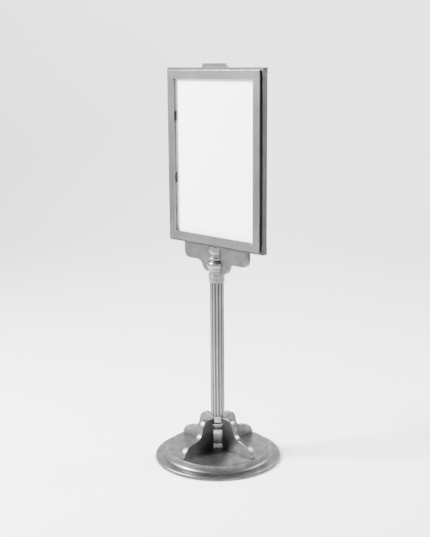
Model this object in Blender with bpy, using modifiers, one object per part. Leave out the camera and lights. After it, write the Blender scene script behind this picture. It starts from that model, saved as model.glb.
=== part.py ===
"""Sign stand: a poster frame on a fluted column with a weighted round foot.

Metres, +Z up. The origin is on the floor in the middle of the foot. The sign stands in the XZ
plane and its face looks along -Y. The poster insert lifts straight up out of the frame.
"""

import math

import bmesh
import bpy
from mathutils import Matrix
from mathutils.geometry import interpolate_bezier

# ---- Clearances ----
GAP = 0.0003  # between two pieces that touch on the real stand
OVERSHOOT = 0.01  # how far a cutter runs past what it cuts
SLIDE = 0.0005  # at each side of a piece that slides or drops into a groove
BORE_GAP = 0.0003  # around a rod, bolt or screw, on the radius

# ---- Foot ----
PLINTH_R = 0.2431
PLINTH_TOP = 0.0407
PLINTH_WALL = 0.006
RIM_ROUND = 0.0063  # width of the rim's rounded edge
LEDGE_W = 0.0245
LEDGE_Z = 0.0139
RISER_W = 0.0144
RIM_Z = 0.0015  # underside of the rim, above the floor
RECESS = 0.003  # depth of the seats for the floor ring and the underside plate
FLOOR_RING_INSET = 0.0121  # middle of the rubber ring, in from the rim
FLOOR_RING_W = 0.0104
FLOOR_RING_T = 0.0042
PLATE_INSET = 0.0219
PLATE_T = 0.002
PLATE_SCREW_INSET = 0.0077
PLATE_SCREWS = 3
BALLAST_INSET = 0.0099
BALLAST_HOLE_R = 0.030
BALLAST_T = 0.0125

# ---- Hub, collars, column ----
COLUMN_R = 0.0271
COLUMN_WALL = 0.0046
COLUMN_SHOWN = 0.5247  # fluted length between the collars
FLUTES = 14
FLUTE_DEPTH = 0.0016
FLUTE_NARROWING = 2.5  # 1 gives a half-round flute, more gives a narrow one between broad ribs
FLUTE_PHASE = math.radians(-45)  # where one rib faces
FLUTE_STEPS = 6
HUB_H = 0.0942
HUB_OVER_RING = 0.0005  # hub's foot past the collar's ring
COLLAR_WALL = 0.0039
COLLAR_H = 0.0338
COLLAR_RING_W = 0.0075  # ring past the collar's sleeve
COLLAR_RING_H = 0.0069
COLLAR_FLOOR = 0.0072
UPPER_COLLAR_WALL = 0.0029
UPPER_COLLAR_H = 0.028
UPPER_RIM_W = 0.0017
UPPER_RIM_H = 0.003
UPPER_ROOF = 0.005  # collar above the column's end

# ---- Fins around the hub ----
FIN_NAMES = ("right", "back", "left", "front")  # at +X, +Y, -X and -Y
FIN_T = 0.020
FIN_SETBACK = 0.0099  # fin's outer end, in from the top disc's edge
FIN_OVER_HUB = 0.0288  # fin's top above the hub's
FIN_WAIST = 0.0532  # hub's foot to the fin's steep middle
FIN_TOE = 0.058  # where the lower shoulder starts, in from the outer end
FIN_TOE_H = 0.0497
FIN_BOLT_INSETS = (0.021, 0.038)  # from the hub's foot, and from the outer end

# ---- Neck ----
BELL_OVER_COLLAR = 0.006
BELL_H = 0.058
NECK_RING_STEP = 0.005  # bell past the neck ring
NECK_RING_H = 0.0086
BLOCK_STEP = 0.006  # bell past the block
BLOCK_H = 0.0384
WING_T = 0.019
WING_REACH = 0.164
WING_END_H = 0.028
WING_DEPTH = 0.059
WING_SHELF_X = 0.095  # where the flat underside ends
WING_STEP_Z0 = 0.0085  # below the bell's top, where the wing's seat starts to widen
WING_STEP_Z1 = 0.0135  # and where it is as wide as the bell
WING_SCREW_X = (0.075, 0.140)
WING_SCREW_SINK = 0.0015  # heads below the insert's seat

# ---- Tie rod ----
ROD_R = 0.004
NUT_R = 0.0075
NUT_H = 0.0068
WASHER_R = 0.014
WASHER_T = 0.0025
ROD_END = 0.0023  # rod beyond the bottom nut
ROD_TIP = 0.0012  # rod beyond the top nut
NUT_POCKET_GAP = 0.0006  # around the top nut, on the radius

# ---- Poster and sign frame ----
PAPER_W = 0.420
PAPER_H = 0.594
SIDE_OVERLAP = 0.0085  # poster hidden at each side
END_OVERLAP = 0.0123  # poster hidden at the top and the bottom
BORDER = 0.032  # face width of the front frame
BODY_OVERHANG = 0.0088  # body past the front frame, all round
BEZEL_FRONT = -0.0221  # Y of the front face
BEZEL_T = 0.0076
SHADOW_GAP = 0.0017  # dark line between front frame and body
SHADOW_DEPTH = 0.003
LIP_T = 0.0029  # rail lip in front of the insert
LIP_SETBACK = 0.001  # lip behind the edge of the opening
WEB_T = 0.0074
PANEL_T = 0.002
REAR_LIP_T = 0.0016
REAR_LIP_X = 0.0125  # rear lip outside the opening
RAIL_CHAMFER = 0.0012  # along the body's rear edges
PANEL_GRIP = 0.006  # panel edge inside its groove
TOP_RAIL_H = 0.0254
NUT_BELOW_PANEL = 0.0052  # top nut below the back panel's edge

# ---- Poster insert ----
SHEET_MARGIN = 0.002  # insert past the paper, each side
CHANNEL_WALL = 0.0012
CHANNEL_LIP = 0.0112
PANE_T = 0.0025
POSTER_T = 0.0004
BOARD_T = 0.003
BAR_GRIP = 0.006  # sheets inside the pull bar
BAR_DEPTH = 0.015
TAB_HALF_W = 0.0615
TAB_TAPER = 0.004
TAB_H = 0.0145
TAB_DEPTH = 0.0105

# ---- Small frame pieces ----
KEY_SIZE = (0.010, 0.008, 0.036)
KEY_FROM_EDGE = 0.0133
KEY_Y = -0.004
PAD_H = 0.037
PAD_W = 0.010
PAD_SHOWN = 0.005
PAD_RISES = {"lower": 0.2433, "upper": 0.4728}  # above the body's underside
BEZEL_SCREW_RISES = {"lower": 0.150, "upper": 0.500}
BEZEL_SCREW_BITE = 0.005
BEZEL_SCREW_SINK = 0.004  # seat of the head, in from the body's back
BEZEL_SCREW_HEAD = (0.0035, 0.003)  # radius and height
BEZEL_SCREW_SHANK_R = 0.002

# ---- Fasteners: head radius, head height, shank radius, shank length ----
FIN_BOLT = (0.0065, 0.005, 0.004, 0.036)
PLATE_SCREW = (0.004, 0.0014, 0.002, 0.0096)
WING_SCREW = (0.0044, 0.004, 0.0025, 0.045)

# ---- Worked out: radii ----
SHOULDER_R = PLINTH_R - RIM_ROUND
LEDGE_R = SHOULDER_R - LEDGE_W
DISC_R = LEDGE_R - RISER_W
FLOOR_RING_R = PLINTH_R - FLOOR_RING_INSET
PLATE_R = PLINTH_R - PLATE_INSET
PLATE_SCREW_RING_R = PLATE_R - PLATE_SCREW_INSET
BALLAST_R = DISC_R - BALLAST_INSET
BORE_R = ROD_R + BORE_GAP
WING_BORE_R = WING_SCREW[2] + BORE_GAP
COLLAR_R = COLUMN_R + COLLAR_WALL
COLLAR_RING_R = COLLAR_R + COLLAR_RING_W
HUB_R = COLLAR_RING_R + HUB_OVER_RING
UPPER_COLLAR_R = COLUMN_R + UPPER_COLLAR_WALL
UPPER_RIM_R = UPPER_COLLAR_R + UPPER_RIM_W
BELL_R = UPPER_COLLAR_R + BELL_OVER_COLLAR
NECK_RING_R = BELL_R - NECK_RING_STEP
BLOCK_R = BELL_R - BLOCK_STEP
FIN_R = DISC_R - FIN_SETBACK
FIN_BOLT_RADII = (HUB_R + FIN_BOLT_INSETS[0], FIN_R - FIN_BOLT_INSETS[1])

# ---- Worked out: heights ----
HUB_Z0 = PLINTH_TOP + GAP
HUB_Z1 = HUB_Z0 + HUB_H
FIN_TOP = HUB_Z1 + FIN_OVER_HUB
COLLAR_Z0 = HUB_Z1 + GAP
COLLAR_Z1 = COLLAR_Z0 + COLLAR_H
UPPER_COLLAR_Z0 = COLLAR_Z1 + COLUMN_SHOWN
UPPER_COLLAR_Z1 = UPPER_COLLAR_Z0 + UPPER_COLLAR_H
BELL_Z0 = UPPER_COLLAR_Z1 + GAP
BELL_Z1 = BELL_Z0 + BELL_H
NECK_RING_Z0 = BELL_Z1 + GAP
NECK_RING_Z1 = NECK_RING_Z0 + NECK_RING_H
BLOCK_Z0 = NECK_RING_Z1 + GAP
BLOCK_Z1 = BLOCK_Z0 + BLOCK_H
BODY_Z0 = BLOCK_Z1 + GAP
BEZEL_Z0 = BODY_Z0 + BODY_OVERHANG
OPENING_Z0 = BEZEL_Z0 + BORDER
PAPER_Z0 = OPENING_Z0 - END_OVERLAP
PAPER_Z1 = PAPER_Z0 + PAPER_H
OPENING_Z1 = PAPER_Z1 - END_OVERLAP
BEZEL_Z1 = OPENING_Z1 + BORDER
BODY_Z1 = BEZEL_Z1 + BODY_OVERHANG
CHANNEL_Z0 = PAPER_Z0 - GAP - CHANNEL_WALL
SEAT_Z = CHANNEL_Z0 - GAP
TOP_RAIL_Z0 = BODY_Z1 - TOP_RAIL_H
REAR_LIP_Z = OPENING_Z0 - REAR_LIP_X
PANEL_Z0 = REAR_LIP_Z - PANEL_GRIP
PANEL_Z1 = TOP_RAIL_Z0 + PANEL_GRIP
NUT_SEAT_Z = PANEL_Z0 - NUT_BELOW_PANEL - NUT_H - GAP

# ---- Worked out: half widths ----
OPENING_X = PAPER_W / 2 - SIDE_OVERLAP
BEZEL_X = OPENING_X + BORDER
BODY_X = BEZEL_X + BODY_OVERHANG
SHADOW_X = BEZEL_X - SHADOW_DEPTH
LIP_X = OPENING_X + LIP_SETBACK
INSERT_X = PAPER_W / 2 + SHEET_MARGIN
GROOVE_X = INSERT_X + SLIDE
REAR_X = OPENING_X + REAR_LIP_X
PANEL_X = REAR_X + PANEL_GRIP
PANEL_GROOVE_X = PANEL_X + SLIDE

# ---- Worked out: depths, front to back ----
BEZEL_BACK = BEZEL_FRONT + BEZEL_T
LIP_FRONT = BEZEL_BACK + GAP
BODY_FRONT = LIP_FRONT + SHADOW_GAP
LIP_BACK = LIP_FRONT + LIP_T
INSERT_FRONT = LIP_BACK + GAP
PANE_FRONT = INSERT_FRONT + CHANNEL_WALL + GAP
POSTER_FRONT = PANE_FRONT + PANE_T + GAP
BOARD_FRONT = POSTER_FRONT + POSTER_T + GAP
SHEETS_BACK = BOARD_FRONT + BOARD_T + GAP
INSERT_BACK = SHEETS_BACK + CHANNEL_WALL
WEB_FRONT = INSERT_BACK + GAP
WEB_BACK = WEB_FRONT + WEB_T
PANEL_FRONT = WEB_BACK + GAP
REAR_LIP_FRONT = PANEL_FRONT + PANEL_T + GAP
BODY_BACK = REAR_LIP_FRONT + REAR_LIP_T
BAR_BACK = INSERT_FRONT + BAR_DEPTH

ROUND_STEPS = 48
TURNED_STEPS = 32
SCREW_STEPS = 10
CURVE_STEPS = 5
SHARP_ANGLE = math.radians(35)  # edges sharper than this stay crisp

for old in list(bpy.data.objects):
    bpy.data.objects.remove(old, do_unlink=True)

parts = bpy.data.collections.new("sign_stand")
cutters = bpy.data.collections.new("cutters")
bpy.context.scene.collection.children.link(parts)
bpy.context.scene.collection.children.link(cutters)


# ---- Materials ----
def material(name, colour, roughness, metallic, alpha=1.0):
    mat = bpy.data.materials.new(name)
    mat.use_nodes = True
    shader = mat.node_tree.nodes["Principled BSDF"]
    shader.inputs["Base Color"].default_value = (*colour, 1.0)
    shader.inputs["Roughness"].default_value = roughness
    shader.inputs["Metallic"].default_value = metallic
    shader.inputs["Alpha"].default_value = alpha
    return mat


CAST = material("satin_cast_aluminium", (0.12, 0.121, 0.124), 0.40, 1.0)
TURNED = material("turned_aluminium", (0.22, 0.222, 0.226), 0.26, 1.0)
FLUTED = material("anodised_column", (0.20, 0.202, 0.206), 0.28, 1.0)
ANODISED = material("anodised_frame", (0.16, 0.161, 0.164), 0.33, 1.0)
PANEL = material("powder_coated_aluminium", (0.58, 0.58, 0.575), 0.50, 0.0)
IRON = material("grey_iron", (0.16, 0.16, 0.17), 0.70, 1.0)
STEEL = material("zinc_plated_steel", (0.45, 0.455, 0.47), 0.35, 1.0)
RUBBER = material("black_rubber", (0.03, 0.03, 0.03), 0.80, 0.0)
NYLON = material("black_nylon", (0.04, 0.04, 0.04), 0.55, 0.0)
PAPER = material("poster_paper", (0.88, 0.88, 0.87), 0.60, 0.0)
ACRYLIC = material("clear_acrylic", (0.95, 0.96, 0.96), 0.08, 0.0, 0.25)
BOARD = material("grey_backing_board", (0.19, 0.188, 0.18), 0.75, 0.0)


# ---- Modelling helpers ----
def place(name, mesh, mat, collection=parts):
    obj = bpy.data.objects.new(name, mesh)
    collection.objects.link(obj)
    if mat and not mesh.materials:
        mesh.materials.append(mat)
    if collection is cutters:
        obj.hide_render = True
        obj.display_type = "WIRE"
    return obj


def box(name, low, high, mat=None, collection=parts):
    """A block between two opposite corners."""
    size = [b - a for a, b in zip(low, high)]
    middle = [(a + b) / 2 for a, b in zip(low, high)]
    bm = bmesh.new()
    bmesh.ops.create_cube(bm, size=1.0, matrix=Matrix.Diagonal((*size, 1.0)))
    mesh = bpy.data.meshes.new(name)
    bm.to_mesh(mesh)
    bm.free()
    obj = place(name, mesh, mat, collection)
    obj.location = middle
    return obj


def turned(name, outline, mat=None, steps=TURNED_STEPS, closed=True, collection=parts):
    """A round piece from (radius, height) points that run down its outer side.

    A closed outline goes back up its bore; an open one starts and ends on the axis.
    """
    mesh = bpy.data.meshes.new(name)
    count = len(outline)
    edges = [(i, i + 1) for i in range(count - 1)]
    if closed:
        edges.append((count - 1, 0))
    mesh.from_pydata([(r, 0.0, z) for r, z in outline], edges, [])
    obj = place(name, mesh, mat, collection)
    screw = obj.modifiers.new("turn", "SCREW")
    screw.axis = "Z"
    screw.angle = 2 * math.pi
    screw.steps = steps
    screw.render_steps = steps
    screw.use_merge_vertices = True
    screw.merge_threshold = 0.00001
    screw.use_smooth_shade = True
    return obj


def ring(name, inner, outer, low, high, mat=None, steps=ROUND_STEPS):
    """A flat ring or a tube of plain section."""
    return turned(name, [(outer, high), (outer, low), (inner, low), (inner, high)], mat, steps)


def plate(name, outlines, thickness, mat, turn=(math.pi / 2, 0, 0), location=(0, 0, 0)):
    """A flat outline, with any holes in it, given a thickness and stood up by turn."""
    curve = bpy.data.curves.new(name, "CURVE")
    curve.dimensions = "2D"
    curve.fill_mode = "BOTH"
    curve.extrude = thickness / 2
    for outline in outlines:
        spline = curve.splines.new("POLY")
        spline.points.add(len(outline) - 1)
        spline.use_cyclic_u = True
        for point, (x, y) in zip(spline.points, outline):
            point.co = (x, y, 0.0, 1.0)
    flat = bpy.data.objects.new(name + "_outline", curve)
    parts.objects.link(flat)
    flat.rotation_euler = turn
    flat.location = location
    bpy.context.view_layer.update()
    mesh = bpy.data.meshes.new_from_object(flat.evaluated_get(bpy.context.evaluated_depsgraph_get()))
    mesh.name = name
    bm = bmesh.new()
    bm.from_mesh(mesh)
    bmesh.ops.remove_doubles(bm, verts=bm.verts, dist=0.00001)
    bmesh.ops.recalc_face_normals(bm, faces=bm.faces)
    bm.to_mesh(mesh)
    bm.free()
    mesh.materials.clear()
    obj = place(name, mesh, mat)
    obj.matrix_world = flat.matrix_world
    bpy.data.objects.remove(flat)
    bpy.data.curves.remove(curve)
    return obj


ALONG_X = (math.pi / 2, 0, math.pi / 2)  # outline in (Y, Z), length along X
ALONG_Z = (0, 0, 0)  # outline in (X, Y), length along Z


def cylinders(name, places, radius, low, high, axis="Z", steps=SCREW_STEPS * 2):
    """One cutter of round holes, at (x, y) places for axis Z or (x, z) places for axis Y."""
    bm = bmesh.new()
    for a, b in places:
        if axis == "Z":
            where = Matrix.Translation((a, b, (low + high) / 2))
        else:
            where = Matrix.Translation((a, (low + high) / 2, b)) @ Matrix.Rotation(math.pi / 2, 4, "X")
        bmesh.ops.create_cone(
            bm, cap_ends=True, segments=steps, radius1=radius, radius2=radius,
            depth=high - low, matrix=where,
        )
    mesh = bpy.data.meshes.new(name)
    bm.to_mesh(mesh)
    bm.free()
    return place(name, mesh, None, cutters)


def cut(obj, cutter, operation="DIFFERENCE"):
    mod = obj.modifiers.new(cutter.name, "BOOLEAN")
    mod.operation = operation
    mod.solver = "EXACT"
    mod.object = cutter


def fastener(name, size, mat, location, turn=(0, 0, 0)):
    """Head at the bottom, shank pointing up its own Z, origin under the head's seat."""
    head_r, head_h, shank_r, length = size
    outline = [
        (0, length), (shank_r, length), (shank_r, 0), (head_r, 0), (head_r, -head_h), (0, -head_h),
    ]
    shared = bpy.data.meshes.get("fastener_%s" % (size,))
    obj = turned(name, outline, mat, SCREW_STEPS, closed=False)
    if shared:
        spare = obj.data
        obj.data = shared
        bpy.data.meshes.remove(spare)
    else:
        obj.data.name = "fastener_%s" % (size,)
    obj.location = location
    obj.rotation_euler = turn
    return obj


def curve_points(start, leave, arrive, end, steps=CURVE_STEPS):
    """Points of one Bezier stretch, without its last point."""
    corners = [(*p, 0.0) for p in (start, leave, arrive, end)]
    return [(p.x, p.y) for p in interpolate_bezier(*corners, steps + 1)][:-1]


def polar(radius, angle):
    return (radius * math.cos(angle), radius * math.sin(angle))


# ---- Foot ----
def make_foot():
    under = PLINTH_TOP - PLINTH_WALL
    seat = RIM_Z + RECESS
    ring_in = FLOOR_RING_R - FLOOR_RING_W / 2 - GAP
    ring_out = FLOOR_RING_R + FLOOR_RING_W / 2 + GAP
    outline = [(BORE_R, PLINTH_TOP), (DISC_R - 0.0012, PLINTH_TOP)]
    outline += curve_points(
        (DISC_R, PLINTH_TOP - 0.0012),
        (DISC_R + 0.001, PLINTH_TOP - 0.015),
        (LEDGE_R - 0.009, LEDGE_Z + 0.002),
        (LEDGE_R, LEDGE_Z),
    )
    outline.append((LEDGE_R, LEDGE_Z))
    outline += curve_points(
        (SHOULDER_R, LEDGE_Z),
        (SHOULDER_R + 0.0036, LEDGE_Z),
        (PLINTH_R, LEDGE_Z * 0.6),
        (PLINTH_R, RIM_Z),
    )
    outline += [
        (PLINTH_R, RIM_Z),
        (ring_out, RIM_Z),
        (ring_out, seat),
        (ring_in, seat),
        (ring_in, RIM_Z),
        (PLATE_R + GAP, RIM_Z),
        (PLATE_R + GAP, seat),
        (LEDGE_R - PLINTH_WALL, seat),
        (DISC_R - 0.0049, LEDGE_Z + 0.001),
        (DISC_R - PLINTH_WALL, under),
        (BORE_R, under),
    ]
    plinth = turned("base_plinth", outline, CAST, ROUND_STEPS)
    bolts = [polar(r, math.radians(90 * i)) for i in range(len(FIN_NAMES)) for r in FIN_BOLT_RADII]
    bolt_hole_r = FIN_BOLT[2] + BORE_GAP
    cut(plinth, cylinders("fin_bolt_holes", bolts, bolt_hole_r, under - OVERSHOOT, PLINTH_TOP + OVERSHOOT))
    screws = [
        polar(PLATE_SCREW_RING_R, math.radians(45 + 360 * i / PLATE_SCREWS)) for i in range(PLATE_SCREWS)
    ]
    plate_z1 = seat - GAP
    plate_z0 = plate_z1 - PLATE_T
    screw_seat = plate_z0 - GAP
    tip = screw_seat + PLATE_SCREW[3]
    screw_holes = cylinders("plate_screw_holes", screws, PLATE_SCREW[2] + BORE_GAP, -OVERSHOOT, tip + GAP)
    cut(plinth, screw_holes)

    ring(
        "rubber_floor_ring", FLOOR_RING_R - FLOOR_RING_W / 2, FLOOR_RING_R + FLOOR_RING_W / 2,
        0, FLOOR_RING_T, RUBBER,
    )
    disc = [(0, plate_z1), (PLATE_R, plate_z1), (PLATE_R, plate_z0), (0, plate_z0)]
    underside = turned("underside_plate", disc, STEEL, ROUND_STEPS, closed=False)
    cut(underside, screw_holes)
    ballast_z0 = plate_z1 + GAP
    ring("ballast_weight", BALLAST_HOLE_R, BALLAST_R, ballast_z0, ballast_z0 + BALLAST_T, IRON)
    for i, (x, y) in enumerate(screws):
        fastener("plate_screw_%d" % (i + 1), PLATE_SCREW, STEEL, (x, y, screw_seat))

    washer_z1 = under - GAP
    washer_z0 = washer_z1 - WASHER_T
    ring("bottom_washer", BORE_R, WASHER_R, washer_z0, washer_z1, STEEL, SCREW_STEPS * 2)
    nut_z0 = washer_z0 - GAP - NUT_H
    make_nut("bottom_nut", nut_z0)
    return nut_z0


def make_nut(name, low):
    mesh = bpy.data.meshes.new(name)
    bm = bmesh.new()
    bmesh.ops.create_cone(
        bm, cap_ends=True, segments=6, radius1=NUT_R, radius2=NUT_R, depth=NUT_H,
        matrix=Matrix.Translation((0, 0, NUT_H / 2)),
    )
    bm.to_mesh(mesh)
    bm.free()
    nut = place(name, mesh, STEEL)
    nut.location.z = low
    cut(nut, cylinders(name + "_bore", [(0, 0)], BORE_R, low - OVERSHOOT, low + NUT_H + OVERSHOOT))


# ---- Fins ----
def make_fins():
    low = HUB_Z0
    shoulder = (HUB_R + FIN_WAIST, FIN_TOP - 0.038)
    toe = (FIN_R - FIN_TOE, low + FIN_TOE_H)
    outline = [(HUB_R / 2, low), (HUB_R / 2, FIN_TOP)]
    outline += curve_points(
        (HUB_R + 0.019, FIN_TOP), (HUB_R + 0.039, FIN_TOP), (shoulder[0] - 0.003, FIN_TOP - 0.016), shoulder
    )
    outline += curve_points(
        shoulder, (shoulder[0] + 0.0033, shoulder[1] - 0.020), (toe[0] - 0.024, toe[1] + 0.0043), toe
    )
    outline += curve_points(
        toe, (toe[0] + 0.036, toe[1] - 0.0037), (FIN_R - 0.001, low + 0.028), (FIN_R, low)
    )
    outline.append((FIN_R, low))
    seat = turned(
        "fin_seat",
        [
            (0, FIN_TOP + OVERSHOOT), (COLLAR_R + GAP, FIN_TOP + OVERSHOOT),
            (COLLAR_R + GAP, COLLAR_Z0 + COLLAR_RING_H + GAP),
            (HUB_R + GAP, COLLAR_Z0 + COLLAR_RING_H + GAP),
            (HUB_R + GAP, low - OVERSHOOT), (0, low - OVERSHOOT),
        ],
        closed=False, collection=cutters,
    )
    under = PLINTH_TOP - PLINTH_WALL
    tip = under - GAP + FIN_BOLT[3]
    for i, side in enumerate(FIN_NAMES):
        angle = math.radians(90 * i)
        fin = plate("fin_" + side, [outline], FIN_T, CAST, (math.pi / 2, 0, angle))
        cut(fin, seat)
        spots = [polar(r, angle) for r in FIN_BOLT_RADII]
        cut(fin, cylinders("fin_%s_bores" % side, spots, FIN_BOLT[2] + BORE_GAP, low - OVERSHOOT, tip + GAP))
        for label, (x, y) in zip(("inner", "outer"), spots):
            fastener("fin_bolt_%s_%s" % (side, label), FIN_BOLT, STEEL, (x, y, under - GAP))


# ---- Hub, collars and column ----
def make_column():
    waist = HUB_R - 0.005
    hub = [
        (BORE_R, HUB_H), (HUB_R - 0.0022, HUB_H), (HUB_R - 0.0015, HUB_H - 0.001),
        (HUB_R - 0.0024, HUB_H - 0.0075), (waist + 0.0005, HUB_H - 0.0137), (waist, HUB_H - 0.0145),
        (waist, HUB_H - 0.0172), (HUB_R - 0.003, HUB_H - 0.018),
    ]
    for groove in (HUB_H - 0.0367, HUB_H - 0.0622):
        hub += [
            (HUB_R - 0.0024, groove + 0.0010), (HUB_R - 0.0036, groove + 0.0005),
            (HUB_R - 0.0036, groove - 0.0005), (HUB_R - 0.0022, groove - 0.0010),
        ]
    hub += [(HUB_R - 0.0028, 0.021), (HUB_R - 0.0012, 0.011), (HUB_R, 0.006), (HUB_R, 0), (BORE_R, 0)]
    turned("lower_hub", hub, TURNED).location.z = HUB_Z0

    sleeve = COLUMN_R + GAP
    spigot = COLUMN_R - COLUMN_WALL - GAP
    collar = [
        (sleeve, COLLAR_H), (COLLAR_R - 0.0006, COLLAR_H), (COLLAR_R, COLLAR_H - 0.0006),
        (COLLAR_R, COLLAR_RING_H), (COLLAR_RING_R - 0.001, COLLAR_RING_H),
        (COLLAR_RING_R, COLLAR_RING_H - 0.001), (COLLAR_RING_R, 0.001), (COLLAR_RING_R - 0.001, 0),
        (BORE_R, 0), (BORE_R, COLLAR_H), (spigot, COLLAR_H), (spigot, COLLAR_FLOOR), (sleeve, COLLAR_FLOOR),
    ]
    turned("lower_collar", collar, TURNED).location.z = COLLAR_Z0

    low = COLLAR_Z0 + COLLAR_FLOOR + GAP
    high = UPPER_COLLAR_Z1 - UPPER_ROOF - GAP
    steps = FLUTES * FLUTE_STEPS
    outer = []
    for i in range(steps):
        share = (i % FLUTE_STEPS) / FLUTE_STEPS
        radius = COLUMN_R - FLUTE_DEPTH * math.sin(math.pi * share) ** FLUTE_NARROWING
        outer.append(polar(radius, FLUTE_PHASE + 2 * math.pi * i / steps))
    inner = [polar(COLUMN_R - COLUMN_WALL, 2 * math.pi * i / TURNED_STEPS) for i in range(TURNED_STEPS)]
    plate("fluted_column", [outer, inner], high - low, FLUTED, ALONG_Z, (0, 0, (low + high) / 2))

    ceiling = UPPER_COLLAR_H - UPPER_ROOF
    upper = [
        (BORE_R, UPPER_COLLAR_H), (UPPER_RIM_R - 0.0008, UPPER_COLLAR_H),
        (UPPER_RIM_R, UPPER_COLLAR_H - 0.0008), (UPPER_RIM_R, UPPER_COLLAR_H - UPPER_RIM_H),
        (UPPER_COLLAR_R, UPPER_COLLAR_H - UPPER_RIM_H), (UPPER_COLLAR_R, 0.0006),
        (UPPER_COLLAR_R - 0.0006, 0), (sleeve, 0), (sleeve, ceiling), (spigot, ceiling), (spigot, 0),
        (BORE_R, 0),
    ]
    turned("upper_collar", upper, TURNED).location.z = UPPER_COLLAR_Z0


# ---- Neck ----
def make_neck():
    waist = UPPER_COLLAR_R
    bell = [
        (BORE_R, BELL_H), (BELL_R - 0.0125, BELL_H), (BELL_R - 0.0117, BELL_H - 0.0008),
        (BELL_R - 0.0060, BELL_H - 0.0080), (BELL_R - 0.0020, BELL_H - 0.0120), (BELL_R, BELL_H - 0.0160),
        (BELL_R, BELL_H - 0.0240), (BELL_R - 0.0015, BELL_H - 0.0300), (BELL_R - 0.0035, BELL_H - 0.0330),
        (BELL_R - 0.0045, BELL_H - 0.0342), (waist + 0.0008, BELL_H - 0.0350), (waist, 0.012),
        (waist, 0.0008), (waist - 0.0008, 0), (BORE_R, 0),
    ]
    turned("neck_bell", bell, TURNED).location.z = BELL_Z0
    disc = [
        (BORE_R, NECK_RING_H), (NECK_RING_R - 0.0015, NECK_RING_H), (NECK_RING_R, NECK_RING_H - 0.0015),
        (NECK_RING_R, 0.0015), (NECK_RING_R - 0.0015, 0), (BORE_R, 0),
    ]
    turned("neck_ring", disc, TURNED).location.z = NECK_RING_Z0
    edge = (BLOCK_R - 0.0038, 0.017)
    foot = BLOCK_R - 0.0028
    block = [(BORE_R, BLOCK_H), (BLOCK_R, BLOCK_H)]
    block += curve_points((BLOCK_R, 0.0225), (BLOCK_R, 0.019), (BLOCK_R - 0.0015, 0.0178), edge, 4)
    block += curve_points(edge, (edge[0] - 0.002, 0.012), (foot - 0.003, 0.008), (foot, 0), 4)
    block += [(foot, 0), (BORE_R, 0)]
    turned("neck_block", block, TURNED).location.z = BLOCK_Z0


def make_wings():
    top = BLOCK_Z1
    foot = BELL_Z0 + 0.0065
    shelf = top - WING_DEPTH
    middle = (WING_SHELF_X - 0.028, shelf - 0.018)
    outline = [(NECK_RING_R / 2, foot), (NECK_RING_R / 2, top), (WING_REACH, top)]
    outline += curve_points(
        (WING_REACH, top - WING_END_H), (WING_REACH - 0.0012, top - WING_END_H - 0.020),
        (WING_REACH - 0.008, shelf), (WING_REACH - 0.027, shelf),
    )
    outline += curve_points(
        (WING_SHELF_X, shelf), (WING_SHELF_X - 0.016, shelf), (middle[0] + 0.004, shelf - 0.008), middle
    )
    outline += curve_points(
        middle, (middle[0] - 0.004, shelf - 0.030), (WING_SHELF_X - 0.039, foot), (WING_SHELF_X - 0.053, foot)
    )
    seat = turned(
        "wing_seat",
        [
            (0, top + OVERSHOOT), (NECK_RING_R + GAP, top + OVERSHOOT),
            (NECK_RING_R + GAP, BELL_Z1 - WING_STEP_Z0), (BELL_R + GAP, BELL_Z1 - WING_STEP_Z1),
            (BELL_R + GAP, foot - OVERSHOOT), (0, foot - OVERSHOOT),
        ],
        closed=False, collection=cutters,
    )
    tip = SEAT_Z - GAP - WING_SCREW[1] - WING_SCREW_SINK - WING_SCREW[3]
    for side, sign in (("left", -1), ("right", 1)):
        wing = plate("wing_" + side, [[(sign * x, z) for x, z in outline]], WING_T, CAST)
        cut(wing, seat)
        spots = [(sign * x, 0) for x in WING_SCREW_X]
        cut(wing, cylinders("wing_%s_bores" % side, spots, WING_BORE_R, tip - GAP, top + OVERSHOOT))


def make_rod(nut_z0):
    top_nut_z0 = NUT_SEAT_Z + GAP
    make_nut("top_nut", top_nut_z0)
    low = nut_z0 - ROD_END
    high = top_nut_z0 + NUT_H + ROD_TIP
    turned("tie_rod", [(0, high), (ROD_R, high), (ROD_R, low), (0, low)], STEEL, SCREW_STEPS * 2, False)


# ---- Sign frame ----
def rectangle(x0, y0, x1, y1):
    return [(x0, y0), (x1, y0), (x1, y1), (x0, y1)]


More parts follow.
